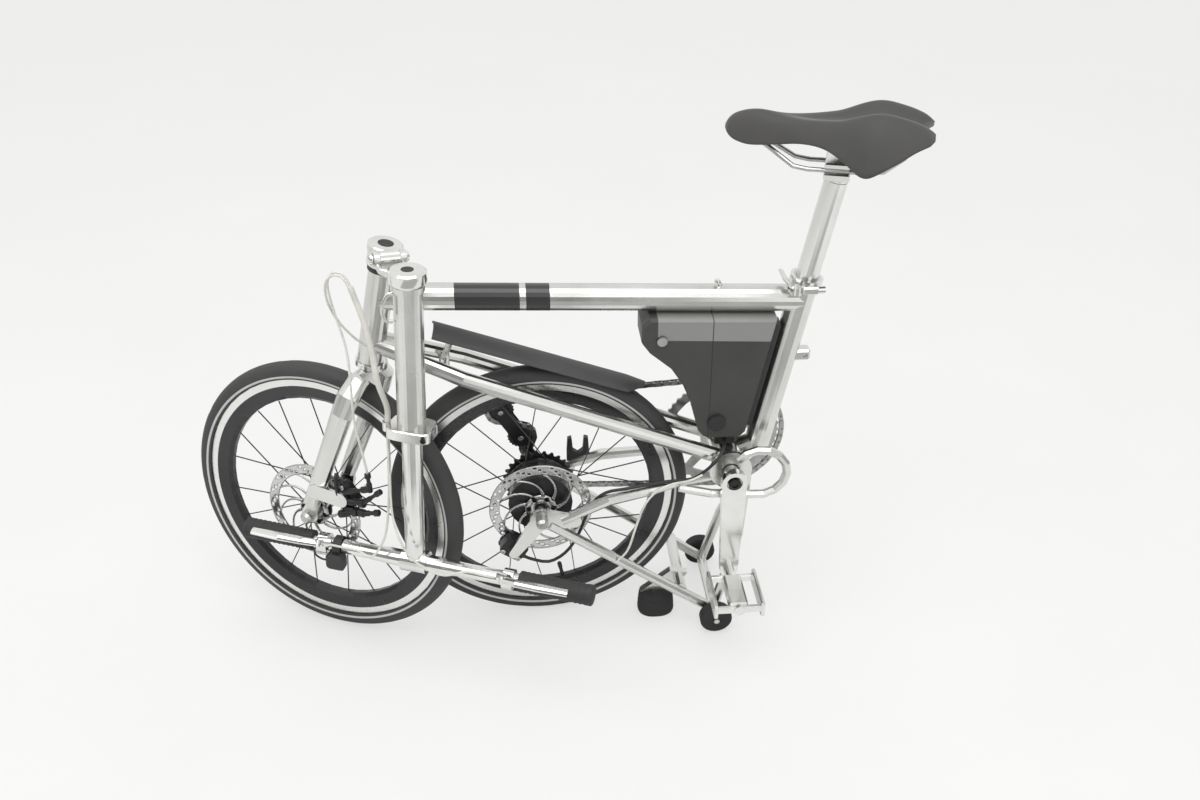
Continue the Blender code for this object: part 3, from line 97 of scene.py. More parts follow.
def finish(name, dark, light, rough, metal=0.0, patch=14.0, grain=900.0, bump=0.1, depth=0.0002, stretch=(1, 1, 1),
           coat=0.0, sheen=0.0):
    """Procedural finish: colour and gloss drift in soft patches and a fine grain lifts the surface."""
    made = bpy.data.materials.new(name)
    made.use_nodes = True
    out = made.node_tree.nodes["Principled BSDF"]
    place = shade(made, "TexCoord").outputs["Object"]
    soft = shade(made, "TexNoise", Vector=place, Scale=patch, Detail=4.0, Roughness=0.6).outputs["Fac"]
    mix = shade(made, "ValToRGB", Fac=soft)
    mix.color_ramp.elements[0].position = 0.32
    mix.color_ramp.elements[0].color = (*dark, 1)
    mix.color_ramp.elements[1].position = 0.68
    mix.color_ramp.elements[1].color = (*light, 1)
    gloss = shade(made, "MapRange", Value=soft, _1=0.3, _2=0.7, _3=rough * 0.8, _4=rough * 1.25)
    spread = shade(made, "Mapping", Vector=place)
    spread.inputs["Scale"].default_value = stretch
    fine = shade(made, "TexNoise", Vector=spread.outputs[0], Scale=grain, Detail=3.0, Roughness=0.55)
    lift = shade(made, "Bump", Strength=bump, Distance=depth, Height=fine.outputs["Fac"])
    made.node_tree.links.new(mix.outputs["Color"], out.inputs["Base Color"])
    made.node_tree.links.new(gloss.outputs["Result"], out.inputs["Roughness"])
    made.node_tree.links.new(lift.outputs["Normal"], out.inputs["Normal"])
    out.inputs["Metallic"].default_value = metal
    out.inputs["Coat Weight"].default_value = coat
    out.inputs["Sheen Weight"].default_value = sheen
    return made


def slab(name, corners, material):
    """A flat panel of the stage."""
    mesh = bpy.data.meshes.new(name)
    mesh.from_pydata([tuple(c) for c in corners], [], [(0, 1, 2, 3)])
    mesh.materials.append(material)
    made = bpy.data.objects.new(name, mesh)
    scene.collection.objects.link(made)
    return made


BACKDROP = (0.905, 0.905, 0.898, 1)
chalk = finish("painted_floor", (0.77, 0.77, 0.765), (0.81, 0.81, 0.805), 0.55, patch=2.2, grain=60, bump=0.02)
seen = shade(chalk, "LightPath")
glow = shade(chalk, "Emission", Color=BACKDROP, Strength=1.0)
part = shade(chalk, "Math", {"operation": "MULTIPLY"}, _0=seen.outputs["Is Camera Ray"], _1=0.65)
both = shade(chalk, "MixShader", Fac=part.outputs[0], _1=chalk.node_tree.nodes["Principled BSDF"].outputs[0],
             _2=glow.outputs[0])
chalk.node_tree.links.new(both.outputs[0], chalk.node_tree.nodes["Material Output"].inputs["Surface"])
slab("floor", [(-30, -30, 0), (30, -30, 0), (30, 30, 0), (-30, 30, 0)], chalk)
# Painted shade: a grey sheet that the camera, diffuse light and shadows never see, so it shows only as a dark
# reflection in the polished metal.
reflected_shade_cloth = finish("reflected_shade_cloth", (0.34, 0.34, 0.335), (0.42, 0.42, 0.415), 0.9)
flag_at = [bracket + Vector((x, y, -0.288)) for x, y in ((-1.05, -1.75), (0.75, -1.75), (0.75, -0.62), (-1.05, -0.62))]
flag = slab("front_flag", flag_at, reflected_shade_cloth)
flag.visible_camera = False
flag.visible_diffuse = False
flag.visible_shadow = False


def soft_box(name, place, aim, size, power):
    """A rectangular studio light turned to a point."""
    data = bpy.data.lights.new(name, "AREA")
    data.shape = "RECTANGLE"
    data.size = size[0]
    data.size_y = size[1]
    data.energy = power
    made = bpy.data.objects.new(name, data)
    scene.collection.objects.link(made)
    made.location = place
    made.rotation_euler = (Vector(aim) - Vector(place)).to_track_quat("-Z", "Y").to_euler()


soft_box("ceiling_light", (-0.2, -0.8, 3.0), (0, 0, 0.2), (3.2, 2.2), 50)
soft_box("window_light", (-2.8, -1.4, 1.8), (0, 0, 0.3), (1.4, 2.2), 8)
soft_box("room_fill", (1.6, -2.6, 1.5), (0.3, 0.3, 0.5), (1.8, 1.8), 11)
room = bpy.data.worlds.new("room")
room.use_nodes = True
walls = room.node_tree.nodes["Background"]
axes = shade(room, "SeparateXYZ", Vector=shade(room, "TexCoord").outputs["Generated"])
tilt = shade(room, "Math", {"operation": "MULTIPLY_ADD"}, _0=axes.outputs["Y"], _1=0.5, _2=axes.outputs["Z"])
ramp = shade(room, "ValToRGB", Fac=tilt.outputs[0])
ramp.color_ramp.elements[0].position = 0.02
ramp.color_ramp.elements[0].color = (0.30, 0.30, 0.30, 1)
ramp.color_ramp.elements[1].position = 0.50
ramp.color_ramp.elements[1].color = (1.0, 1.0, 0.995, 1)
room.node_tree.links.new(ramp.outputs["Color"], walls.inputs["Color"])
walls.inputs["Strength"].default_value = 0.95
plain = shade(room, "Background", Color=BACKDROP)
choice = shade(room, "MixShader", Fac=shade(room, "LightPath").outputs["Is Camera Ray"], _1=walls.outputs[0],
               _2=plain.outputs[0])
room.node_tree.links.new(choice.outputs[0], room.node_tree.nodes["World Output"].inputs["Surface"])
scene.world = room
scene.view_settings.view_transform = "Standard"


# Main frame: drawn aluminium tubes, welded, polished bright and lacquered, with two dark painted bands on the
# top tube. The upper headset ring and the mud shield are black mouldings, and a small turned cable stop is
# fixed on the top tube's rear end.
def paint(material, *names):
    """Gives CAD pieces their finish."""
    for name in names:
        for spot in frame["nodes"][name].material_slots:
            spot.material = material


TUBE_DARK = (0.62, 0.62, 0.595)
TUBE_LIGHT = (0.72, 0.72, 0.695)
polished, banded = (finish(name, TUBE_DARK, TUBE_LIGHT, 0.24, 1.0, patch=10, grain=260, bump=0.06, depth=0.0003,
                           stretch=(0.25, 1, 1), coat=0.15) for name in ("polished_tube", "banded_tube"))
place = shade(banded, "TexCoord").outputs["Object"]
axes = shade(banded, "SeparateXYZ", Vector=place)
masks = []
for low, high in ((-0.4050, -0.3130), (-0.3040, -0.2700)):
    from_low = shade(banded, "Math", {"operation": "GREATER_THAN"}, _0=axes.outputs["X"], _1=bracket.x + low)
    to_high = shade(banded, "Math", {"operation": "LESS_THAN"}, _0=axes.outputs["X"], _1=bracket.x + high)
    high_up = shade(banded, "Math", {"operation": "GREATER_THAN"}, _0=axes.outputs["Z"], _1=bracket.z + 0.245)
    both = shade(banded, "Math", {"operation": "MULTIPLY"}, _0=from_low.outputs[0], _1=to_high.outputs[0])
    masks.append(shade(banded, "Math", {"operation": "MULTIPLY"}, _0=both.outputs[0], _1=high_up.outputs[0]))
band = shade(banded, "Math", {"operation": "ADD"}, _0=masks[0].outputs[0], _1=masks[1].outputs[0]).outputs[0]
out = banded.node_tree.nodes["Principled BSDF"]
bright = out.inputs["Base Color"].links[0].from_socket
ink = shade(banded, "Mix", {"data_type": "RGBA"}, Factor=band, _6=bright, _7=(0.030, 0.030, 0.030, 1))
banded.node_tree.links.new(ink.outputs["Result"], out.inputs["Base Color"])
dull = shade(banded, "Math", {"operation": "SUBTRACT"}, _0=1.0, _1=band)
banded.node_tree.links.new(dull.outputs[0], out.inputs["Metallic"])
paint(banded, "main_frame")
moulded = finish("black_moulding", (0.020, 0.020, 0.021), (0.036, 0.036, 0.037), 0.48, patch=30, grain=1700, bump=0.16)
paint(moulded, "headset_upper")
shield_rubber = finish("shield_moulding", (0.040, 0.040, 0.041), (0.060, 0.060, 0.061), 0.55, patch=18, grain=1300,
                       bump=0.2, stretch=(0.4, 1, 1))
paint(shield_rubber, "mud_shield")
mirror = finish("polished_forging", (0.70, 0.70, 0.68), (0.80, 0.80, 0.78), 0.16, 1.0, patch=16, grain=420, bump=0.03,
                depth=0.0002)
paint(mirror, "headset_lower")


def solid(name, verts, faces, material, body, smooth=40):
    """A mesh piece that rides on a body."""
    mesh = bpy.data.meshes.new(name)
    mesh.from_pydata([tuple(v) for v in verts], [], faces)
    work = bmesh.new()
    work.from_mesh(mesh)
    bmesh.ops.recalc_face_normals(work, faces=work.faces)
    work.to_mesh(mesh)
    work.free()
    mesh.materials.append(material)
    mesh.shade_smooth()
    mesh.set_sharp_from_angle(angle=radians(smooth))
    made = bpy.data.objects.new(name, mesh)
    scene.collection.objects.link(made)
    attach(made, body)
    return made


def skin(rings, closed=False):
    """Faces of a tube through rings of points, capped unless it closes on itself."""
    count = len(rings[0])
    verts = [p for ring in rings for p in ring]
    faces = []
    last = len(rings) if closed else len(rings) - 1
    for i in range(last):
        n = (i + 1) % len(rings)
        for k in range(count):
            j = (k + 1) % count
            faces.append((i * count + k, i * count + j, n * count + j, n * count + k))
    if not closed:
        faces += [tuple(range(count)), tuple(range((len(rings) - 1) * count, len(rings) * count))]
    return verts, faces


STOP_RADIUS = 0.0048
stop_at = bracket + Vector((-0.0240, 0.0, 0.2890))
stop_steps = ((-0.004, 1.5, 0), (0.004, 1.0, 0), (0.009, 0.9, -0.001), (0.013, 1.1, -0.003), (0.0165, 0.7, -0.004))
rings = [[stop_at + Vector((STOP_RADIUS * grow * cos(2 * pi * k / 16) + lean,
                            STOP_RADIUS * grow * sin(2 * pi * k / 16), h))
          for k in range(16)] for h, grow, lean in stop_steps]
solid("cable_stop", *skin(rings), mirror, "frame", 40)


# Battery: a moulded grey case in two halves that slides down a rail on the seat tube into a socket, with a
# lighter strip along its top, a steel lock and a rubber cap over its plug.
case = finish("battery_moulding", (0.040, 0.039, 0.038), (0.054, 0.053, 0.051), 0.50, patch=12, grain=1400, bump=0.15)
STRIP_SLOPE = 0.0620
strip_at = bracket.z + STRIP_SLOPE * bracket.x
place = shade(case, "TexCoord").outputs["Object"]
axes = shade(case, "SeparateXYZ", Vector=place)
slope = shade(case, "Math", {"operation": "MULTIPLY_ADD"}, _0=axes.outputs["X"], _1=STRIP_SLOPE, _2=axes.outputs["Z"])
strip = shade(case, "MapRange", Value=slope.outputs[0], _1=strip_at + 0.2185, _2=strip_at + 0.2195, _3=0.0, _4=1.0)
ahead = shade(case, "MapRange", Value=axes.outputs["X"], _1=bracket.x - 0.1165, _2=bracket.x - 0.1155, _3=0.0, _4=1.0)
seam = shade(case, "Math", {"operation": "SUBTRACT"}, _0=axes.outputs["X"], _1=bracket.x - 0.0350)
seam_width = shade(case, "Math", {"operation": "ABSOLUTE"}, _0=seam.outputs[0])
seam_mask = shade(case, "MapRange", Value=seam_width.outputs[0], _1=0.0005, _2=0.0011, _3=0.15, _4=1.0)
both = shade(case, "Math", {"operation": "MULTIPLY"}, _0=strip.outputs[0], _1=ahead.outputs[0])
out = case.node_tree.nodes["Principled BSDF"]
grey = out.inputs["Base Color"].links[0].from_socket
lit = shade(case, "Mix", {"data_type": "RGBA"}, Factor=both.outputs[0], _6=grey, _7=(0.25, 0.25, 0.245, 1))
lined = shade(case, "Mix", {"data_type": "RGBA"}, Factor=seam_mask.outputs[0], _6=(0.012, 0.012, 0.012, 1),
              _7=lit.outputs["Result"])
case.node_tree.links.new(lined.outputs["Result"], out.inputs["Base Color"])
paint(case, "battery_case")
steel = finish("bare_steel", (0.46, 0.46, 0.45), (0.58, 0.58, 0.57), 0.30, 1.0, patch=40, grain=700, bump=0.08)
rubber = finish("black_rubber", (0.018, 0.018, 0.018), (0.032, 0.032, 0.032), 0.78, patch=30, grain=1200, bump=0.25)
paint(steel, "battery_lock")
paint(moulded, "battery_rail", "battery_socket")
paint(rubber, "battery_cap")


# Seat: polished collar, quick-release lever and sliding post, steel rails in a forged clamp, and a padded
# saddle with a dark cover drawn over moulded foam, hollowed along its middle and notched at the back.
paint(mirror, "seat_collar", "seat_lever", "seatpost", "saddle_clamp")
paint(steel, "saddle_rails")


def ease(value, points):
    """Smooth curve through (position, height) pairs."""
    for i in range(len(points) - 1):
        (x0, y0), (x1, y1) = points[i], points[i + 1]
        if value <= x1:
            before = points[max(i - 1, 0)]
            after = points[min(i + 2, len(points) - 1)]
            m0 = (y1 - before[1]) / (x1 - before[0]) * (x1 - x0)
            m1 = (after[1] - y0) / (after[0] - x0) * (x1 - x0)
            t = (value - x0) / (x1 - x0)
            return ((2 * t ** 3 - 3 * t ** 2 + 1) * y0 + (t ** 3 - 2 * t ** 2 + t) * m0
                    + (3 * t ** 2 - 2 * t ** 3) * y1 + (t ** 3 - t ** 2) * m1)
    return points[-1][1]


cover = finish("saddle_cover", (0.034, 0.033, 0.032), (0.053, 0.052, 0.050), 0.62, patch=22, grain=1100, bump=0.30,
               depth=0.0003, sheen=0.25)
SEAT_TILT = radians(10.8)
seat_axis = Vector((sin(SEAT_TILT), 0, cos(SEAT_TILT)))
seat_top = bracket + Vector((0.049, 0, 0.019)) + seat_axis * 0.292
seat_turn = Matrix.Translation(seat_top) @ Matrix.Rotation(radians(-17.0), 4, seat_axis)
clamp_spot = seat_axis * 0.150 + Vector((0, 0, 0.020))
width_curve = [(0, 0.004), (0.012, 0.0135), (0.035, 0.0205), (0.07, 0.0248), (0.13, 0.0275), (0.25, 0.030),
               (0.38, 0.036), (0.49, 0.046), (0.59, 0.062), (0.67, 0.080), (0.73, 0.0845), (0.83, 0.079), (0.92, 0.066),
               (0.975, 0.054), (1, 0.040)]
crown_curve = [(0, -0.018), (0.012, -0.011), (0.035, -0.004), (0.07, 0.001), (0.13, 0.005), (0.25, 0.006),
               (0.42, 0.0065), (0.58, 0.011), (0.74, 0.020), (0.86, 0.015), (0.95, 0.007), (1, -0.002)]
drop_curve = [(0, 0.004), (0.012, 0.015), (0.035, 0.027), (0.07, 0.036), (0.13, 0.043), (0.25, 0.041), (0.38, 0.036),
              (0.49, 0.040), (0.59, 0.056), (0.67, 0.074), (0.72, 0.075), (0.82, 0.056), (0.91, 0.034), (0.975, 0.019),
              (1, 0.010)]
thick_curve = [(0, 0.005), (0.035, 0.016), (0.07, 0.022), (0.15, 0.026), (0.9, 0.026), (0.96, 0.020), (1, 0.010)]
dip_curve = [(0, 0), (0.16, 0), (0.30, 0.006), (0.45, 0.011), (0.70, 0.015), (0.90, 0.013), (1, 0.005)]
SADDLE_NOSE = -0.158
SADDLE_LENGTH = 0.282
SADDLE_HEIGHT = 0.068
NOTCH_HALF = 0.027
rings = []
for step in range(57):
    share = 0.5 - 0.5 * cos(pi * step / 56)
    half = ease(share, width_curve)
    crown = SADDLE_HEIGHT + ease(share, crown_curve)
    drop = ease(share, drop_curve)
    dip = max(0.0, ease(share, dip_curve))
    trough = min(0.032, half * 0.58)
    bay = 0.020 * max(0.0, (share - 0.70) / 0.30) ** 2
    flat = 0.30 * min(1.0, max(0.0, (share - 0.25) / 0.35))
    upper = []
    lower = []
    for k in range(33):
        u = k / 16 - 1
        y = half * u
        x = SADDLE_NOSE + SADDLE_LENGTH * share - bay * max(0.0, 1 - (y / NOTCH_HALF) ** 2)
        slope = max(0.0, (abs(u) - flat) / (1 - flat)) ** 2.0
        upper.append((x, y, crown - dip * max(0.0, 1 - (y / trough) ** 2) ** 1.5 - drop * slope))
    for k in range(9):
        u = 1 - (k + 0.5) * 2 / 9
        y = (half - 0.004) * u
        x = SADDLE_NOSE + SADDLE_LENGTH * share - bay * max(0.0, 1 - (y / NOTCH_HALF) ** 2)
        under = crown - max(ease(share, thick_curve), drop * 0.55)
        if k in (0, 8):
            under = crown - drop * 0.98
        lower.append((x, y, min(under, crown - dip - 0.006)))
    rings.append([seat_turn @ (clamp_spot + Vector(p)) for p in upper + lower])
saddle = solid("saddle_pad", *skin(rings), cover, "seat", 75)
saddle.modifiers.new("soften", "SUBSURF").levels = 1
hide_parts("saddle")


# Fork, folding post and their hinge: polished tubes with turned collars and socket-head bolts on the two faces
# of the hinge, domed ends on its pin, a bent wire latch, and the clamp block that grips the sliding inner
# post and guides the cables.
paint(polished, "fork", "post_tube")
paint(mirror, "hinge_base")
bolt_black = finish("black_bolt", (0.020, 0.020, 0.020), (0.040, 0.040, 0.040), 0.30, 0.7, patch=60, grain=1500)


def about(hub, axis):
    """Frame at a point, with its second axis along an axle or a bolt."""
    axle = Vector(axis).normalized()
    first = Vector((0, 0, 1)).cross(axle).normalized()
    return Matrix.Translation(Vector(hub)) @ Matrix((first, axle, first.cross(axle))).transposed().to_4x4()


def lathe(place, profile, count, teeth=0.0):
    """Rings of a turned form: (radius, along) pairs about the second axis of a frame."""
    return [[place @ Vector((max(r, 1e-5) * (1 - teeth * (i % 2)) * cos(2 * pi * i / count), y,
                             max(r, 1e-5) * (1 - teeth * (i % 2)) * sin(2 * pi * i / count)))
             for i in range(count)] for r, y in profile]


def gather(parts):
    """One list of points and faces from several."""
    verts = []
    faces = []
    for v, f in parts:
        base = len(verts)
        verts += v
        faces += [tuple(i + base for i in face) for face in f]
    return verts, faces


def bolts(name, body, material, spots):
    """Socket heads at (place, outward axis, radius, height)."""
    parts = []
    for spot, axis, r, h in spots:
        head = [(r, 0), (r, h * 0.75), (r * 0.82, h), (r * 0.52, h), (r * 0.50, h * 0.35), (0, h * 0.30)]
        parts.append(skin(lathe(about(spot, axis), head, 12)))
    return solid(name, *gather(parts), material, body, 30)


def rounded_square(count, power):
    """Outline of a square with round corners, as pairs from -1 to 1."""
    turns = [2 * pi * k / count for k in range(count)]
    return [(abs(cos(a)) ** power * (1 if cos(a) >= 0 else -1), abs(sin(a)) ** power * (1 if sin(a) >= 0 else -1))
            for a in turns]


def route(points, count):
    """A smooth line of evenly shared points through a few places."""
    line = []
    for k in range(count):
        at = k / (count - 1) * (len(points) - 1)
        i = min(int(at), len(points) - 2)
        t = at - i
        b = points[i]
        c = points[i + 1]
        a = points[i - 1] if i else b * 2 - c
        d = points[i + 2] if i + 2 < len(points) else c * 2 - b
        line.append(0.5 * ((2 * b) + (c - a) * t + (2 * a - 5 * b + 4 * c - d) * t * t
                           + (3 * b - a - 3 * c + d) * t ** 3))
    return line


def cable(name, points, diameter, material, count=26):
    """A round cable or bent wire as a mesh tube, the line it follows and its length."""
    line = route(points, count)
    verts = []
    faces = []
    side = Vector((0.3, 1, 0.2))
    for k, spot in enumerate(line):
        way = (line[min(k + 1, count - 1)] - line[max(k - 1, 0)]).normalized()
        side = (side - way * side.dot(way)).normalized()
        other = way.cross(side)
        for i in range(10):
            turn = 2 * pi * i / 10
            verts.append(tuple(spot + (side * cos(turn) + other * sin(turn)) * diameter / 2))
            if k:
                j = (i + 1) % 10
                faces.append((10 * k - 10 + i, 10 * k - 10 + j, 10 * k + j, 10 * k + i))
    faces += [tuple(range(10)), tuple(range(10 * count - 10, 10 * count))]
    mesh = bpy.data.meshes.new(name)
    mesh.from_pydata(verts, [], faces)
    mesh.materials.append(material)
    mesh.shade_smooth()
    mesh.set_sharp_from_angle(angle=radians(50))
    made = bpy.data.objects.new(name, mesh)
    scene.collection.objects.link(made)
    return made, line, sum((b - a).length for a, b in zip(line, line[1:]))


grips = [[Vector(v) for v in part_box(name)] for name in ("left_grip", "right_grip")]
bar_left, bar_right = ((low + high) / 2 for low, high in grips)
bar_mid = (bar_left + bar_right) / 2
bar_way = (bar_right - bar_left).normalized()
bar_down = Vector(joint["bar_slide"]["axis"]).normalized()
bar_back = bar_way.cross(bar_down)
ring_mid = bar_mid - bar_down * 0.232
guide = ring_mid - bar_way * 0.037
steer_at = Vector(joint["steering"]["pos_m"])
steer_axis = Vector(joint["steering"]["axis"])
head_top = steer_at + steer_axis * 0.1876
post_top = bar_mid - bar_down * 0.4805
hinge_at = Vector(joint["post_fold"]["pos_m"])
hinge_axis = Vector(joint["post_fold"]["axis"]).normalized()
collar = [(0.0125, 0.0010), (0.0228, 0.0010), (0.0248, -0.0008), (0.0250, -0.0090), (0.0236, -0.0105),
          (0.0200, -0.0105)]
solid("head_collar", *skin(lathe(about(head_top, steer_axis), collar, 40)), mirror, "fork", 35)
collar = [(0.0125, 0.0010), (0.0235, 0.0010), (0.0262, -0.0014), (0.0266, -0.0150), (0.0245, -0.0195),
          (0.0206, -0.0225)]
solid("post_collar", *skin(lathe(about(post_top, -bar_down), collar, 40)), mirror, "post", 35)
bolts("head_bolt", "fork", bolt_black, [(head_top + steer_axis * 0.0010, steer_axis, 0.0115, 0.0003)])
bolts("post_bolt", "post", bolt_black, [(post_top - bar_down * 0.0010, -bar_down, 0.0090, 0.0003)])
dome = [(0.0080, 0.0), (0.0080, 0.0010), (0.0070, 0.0034), (0.0045, 0.0050), (0.0, 0.0056)]
ends = [skin(lathe(about(hinge_at + hinge_axis * way * 0.0240, hinge_axis * way), dome, 20)) for way in (-1, 1)]
solid("pin_ends", *gather(ends), mirror, "post", 30)
side_way = (bar_way * -0.75 - bar_back * 0.66).normalized()
latch_at = bar_mid - bar_down * 0.448
latch_line = [latch_at + side_way * 0.0185, latch_at + side_way * 0.0270 - bar_down * 0.002,
              latch_at + side_way * 0.0340 + bar_down * 0.008, latch_at + side_way * 0.0370 + bar_down * 0.022,
              latch_at + side_way * 0.0330 + bar_down * 0.036, latch_at + side_way * 0.0230 + bar_down * 0.040]
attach(cable("hinge_latch", latch_line, 0.0055, mirror, 30)[0], "post")
rings = [[ring_mid + bar_down * h + bar_way * c * (0.0335 - inset) + bar_back * d * (0.0248 - inset)
          for c, d in rounded_square(48, 0.42)]
         for h, inset in ((-0.0085, 0.0014), (-0.0072, 0.0), (0.0072, 0.0), (0.0085, 0.0014))]
eyelet = [(0.0052, -0.0070), (0.0074, -0.0070), (0.0074, 0.0070), (0.0052, 0.0070)]
eye = skin(lathe(about(guide, bar_down), eyelet, 24), closed=True)
block = solid("clamp_block", *gather([skin(rings), eye]), mirror, "post", 30)
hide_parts("post_clamp")
bolts("clamp_bolt", "post", bolt_black,
      [(ring_mid + bar_way * 0.0262 - bar_back * 0.0247, -bar_back, 0.0042, 0.0026)])


# Handlebar: a polished bar on the inner post, with ribbed rubber grips pushed on its ends, forged brake levers
# in clamped brackets, and a small black moulded control unit strapped under its left half.
paint(mirror, "handlebar", "left_lever", "right_lever", "left_bracket", "right_bracket")
GRIP_LENGTH = 0.115
GRIP_RADIUS = 0.0160
grip_rubber = finish("grip_rubber", (0.026, 0.026, 0.026), (0.042, 0.041, 0.040), 0.72, patch=30, grain=1400, bump=0.3)
for side in ("left", "right"):
    low, high = (Vector(v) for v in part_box(side + "_grip"))
    profile = []
    for k in range(61):
        edge = min(k, 60 - k)
        rib = 0.0007 if edge > 4 and k % 4 in (0, 1) else 0.0
        profile.append((GRIP_RADIUS - rib - (0.0025 if edge == 0 else 0.0), -GRIP_LENGTH / 2 + GRIP_LENGTH * k / 60))
    rings = lathe(about((low + high) / 2, bar_way), profile, 28)
    grip = solid(side + "_grip_sleeve", *skin(rings), grip_rubber, "bar", 50)
    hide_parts(side + "_grip")
unit_at = bar_mid - bar_way * 0.124 - bar_back * 0.014 + bar_down * 0.019
rings = [[unit_at - bar_back * h + bar_way * c * (0.0150 - inset) + bar_down * d * (0.0135 - inset)
          for c, d in rounded_square(32, 0.4)]
         for h, inset in ((-0.0075, 0.0020), (-0.0060, 0.0004), (0.0060, 0.0), (0.0078, 0.0022))]
strap = [(0.0128, -0.006), (0.0155, -0.006), (0.0155, 0.006), (0.0128, 0.006)]
strap_at = about(bar_mid - bar_way * 0.124, bar_way)
unit = solid("control_unit", *gather([skin(rings), skin(lathe(strap_at, strap, 24), closed=True)]), moulded, "bar",
             30)


# Wheels: black rubber tyres with a fine tread and a thin reflective ring, deep black rims with a bare brake
# track and a valve each, and black hubs laced with black spokes, on steel axles.
paint(steel, "rear_axle", "front_axle")


def ringed(name, hub, axis, dark, light, rough, metal, bands, grain=900.0, bump=0.1):
    """A finish whose colour and metal change at radii from a wheel's axle: (from, to, colour, metal)."""
    made = finish(name, dark, light, rough, metal, grain=grain, bump=bump)
    place = shade(made, "TexCoord").outputs["Object"]
    arm = shade(made, "VectorMath", {"operation": "SUBTRACT"}, _0=place, _1=tuple(hub))
    along = shade(made, "VectorMath", {"operation": "DOT_PRODUCT"}, _0=arm.outputs[0], _1=tuple(axis))
    span = shade(made, "VectorMath", {"operation": "LENGTH"}, _0=arm.outputs[0])
    square = shade(made, "Math", {"operation": "MULTIPLY"}, _0=span.outputs["Value"], _1=span.outputs["Value"])
    side = shade(made, "Math", {"operation": "MULTIPLY"}, _0=along.outputs["Value"], _1=along.outputs["Value"])
    rest = shade(made, "Math", {"operation": "SUBTRACT"}, _0=square.outputs[0], _1=side.outputs[0])
    reach = shade(made, "Math", {"operation": "SQRT"}, _0=rest.outputs[0]).outputs[0]
    out = made.node_tree.nodes["Principled BSDF"]
    for low, high, colour, shine in bands:
        rise = shade(made, "MapRange", Value=reach, _1=low - 0.0003, _2=low + 0.0003, _3=0.0, _4=1.0)
        fall = shade(made, "MapRange", Value=reach, _1=high - 0.0003, _2=high + 0.0003, _3=1.0, _4=0.0)
        mask = shade(made, "Math", {"operation": "MULTIPLY"}, _0=rise.outputs[0], _1=fall.outputs[0]).outputs[0]
        base = out.inputs["Base Color"].links[0].from_socket
        mix = shade(made, "Mix", {"data_type": "RGBA"}, Factor=mask, _6=base, _7=(*colour, 1))
        made.node_tree.links.new(mix.outputs["Result"], out.inputs["Base Color"])
        if shine != metal:
            level = shade(made, "MapRange", Value=mask, _1=0.0, _2=1.0, _3=metal, _4=shine)
            made.node_tree.links.new(level.outputs["Result"], out.inputs["Metallic"])
    return made


TYRE_RADIUS = 0.233
TYRE_HALF = 0.0165
RIM_SEAT = 0.2085
anodised = finish("black_anodised", (0.018, 0.018, 0.019), (0.034, 0.034, 0.035), 0.34, 0.4, patch=30, grain=1500,
                  bump=0.06)
for side in ("rear", "front"):
    spin = joint[side + "_wheel_spin"]
    hub = Vector(spin["pos_m"])
    place = about(hub, spin["axis"])
    tyre_look = ringed(side + "_tyre_rubber", hub, spin["axis"], (0.036, 0.036, 0.036), (0.056, 0.055, 0.054), 0.66,
                       0.0, [(0.2118, 0.2152, (0.55, 0.55, 0.54), 0.0)], grain=800, bump=0.18)
    reach = acos((RIM_SEAT + 0.0003 - TYRE_RADIUS + TYRE_HALF) / TYRE_HALF)
    rings = []
    for k in range(216):
        angle = 2 * pi * k / 216
        ring = []
        for i in range(29):
            t = reach * (i / 14 - 1)
            low = 0.0
            if abs(t) < 0.75 and (k + 3 * abs(i - 14)) % 9 in (0, 1) and abs(i - 14) > 1:
                low = 0.0007
            if abs(abs(t) - 0.25) < 0.06:
                low = 0.0006
            radius = TYRE_RADIUS - TYRE_HALF + (TYRE_HALF - low) * cos(t)
            ring.append(place @ Vector((radius * cos(angle), (TYRE_HALF - low) * sin(t), radius * sin(angle))))
        rings.append(ring)
    tyre = solid(side + "_tyre_cover", *skin(rings, closed=True), tyre_look, side + "_wheel", 60)
    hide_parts(side + "_tyre")
    rim_look = ringed(side + "_rim_black", hub, spin["axis"], (0.014, 0.014, 0.015), (0.024, 0.024, 0.025), 0.28, 0.0,
                      [(RIM_SEAT - 0.0112, RIM_SEAT + 0.001, (0.78, 0.78, 0.76), 1.0)], grain=1200, bump=0.05)
    paint(rim_look, side + "_rim")
    spoke_way = radians(203 if side == "front" else 101)
    stem_way = (place.to_3x3() @ Vector((-cos(spoke_way), 0, -sin(spoke_way)))).normalized()
    stem_at = about(hub - stem_way * 0.1830, stem_way)
    stem = [(0.0040, 0.0), (0.0040, 0.0060), (0.0030, 0.0065), (0.0030, 0.0240), (0.0036, 0.0245), (0.0036, 0.0330),
            (0.0020, 0.0350)]
    solid(side + "_valve", *skin(lathe(stem_at, stem, 12)), anodised, side + "_wheel", 40)
    paint(anodised, side + "_hub")


# Brakes: drilled steel discs bolted on each wheel's left side, gripped by black cast bodies with a domed
# adjuster. The front one is pulled by a bent arm and a small linkage that the cable's boot sits on.
rotor_steel = finish("rotor_steel", (0.50, 0.50, 0.49), (0.64, 0.64, 0.63), 0.26, 1.0, patch=50, grain=900, bump=0.10)
left = Vector((0, -1, 0))
DISC_Y = -0.04125
front_hub = Vector(joint["front_wheel_spin"]["pos_m"])
front_axis = Vector(joint["front_wheel_spin"]["axis"])
front_way = front_axis.cross(steer_axis)
front_place = Matrix((front_way, front_axis, steer_axis)).transposed().to_4x4()
rear_place = Matrix.Translation(Vector(joint["rear_wheel_spin"]["pos_m"]))
brakes = {"rear": (rear_place, radians(235.0), "rear_triangle", 0.0672),
          "front": (Matrix.Translation(front_hub) @ front_place, radians(48.0), "fork", 0.0600)}


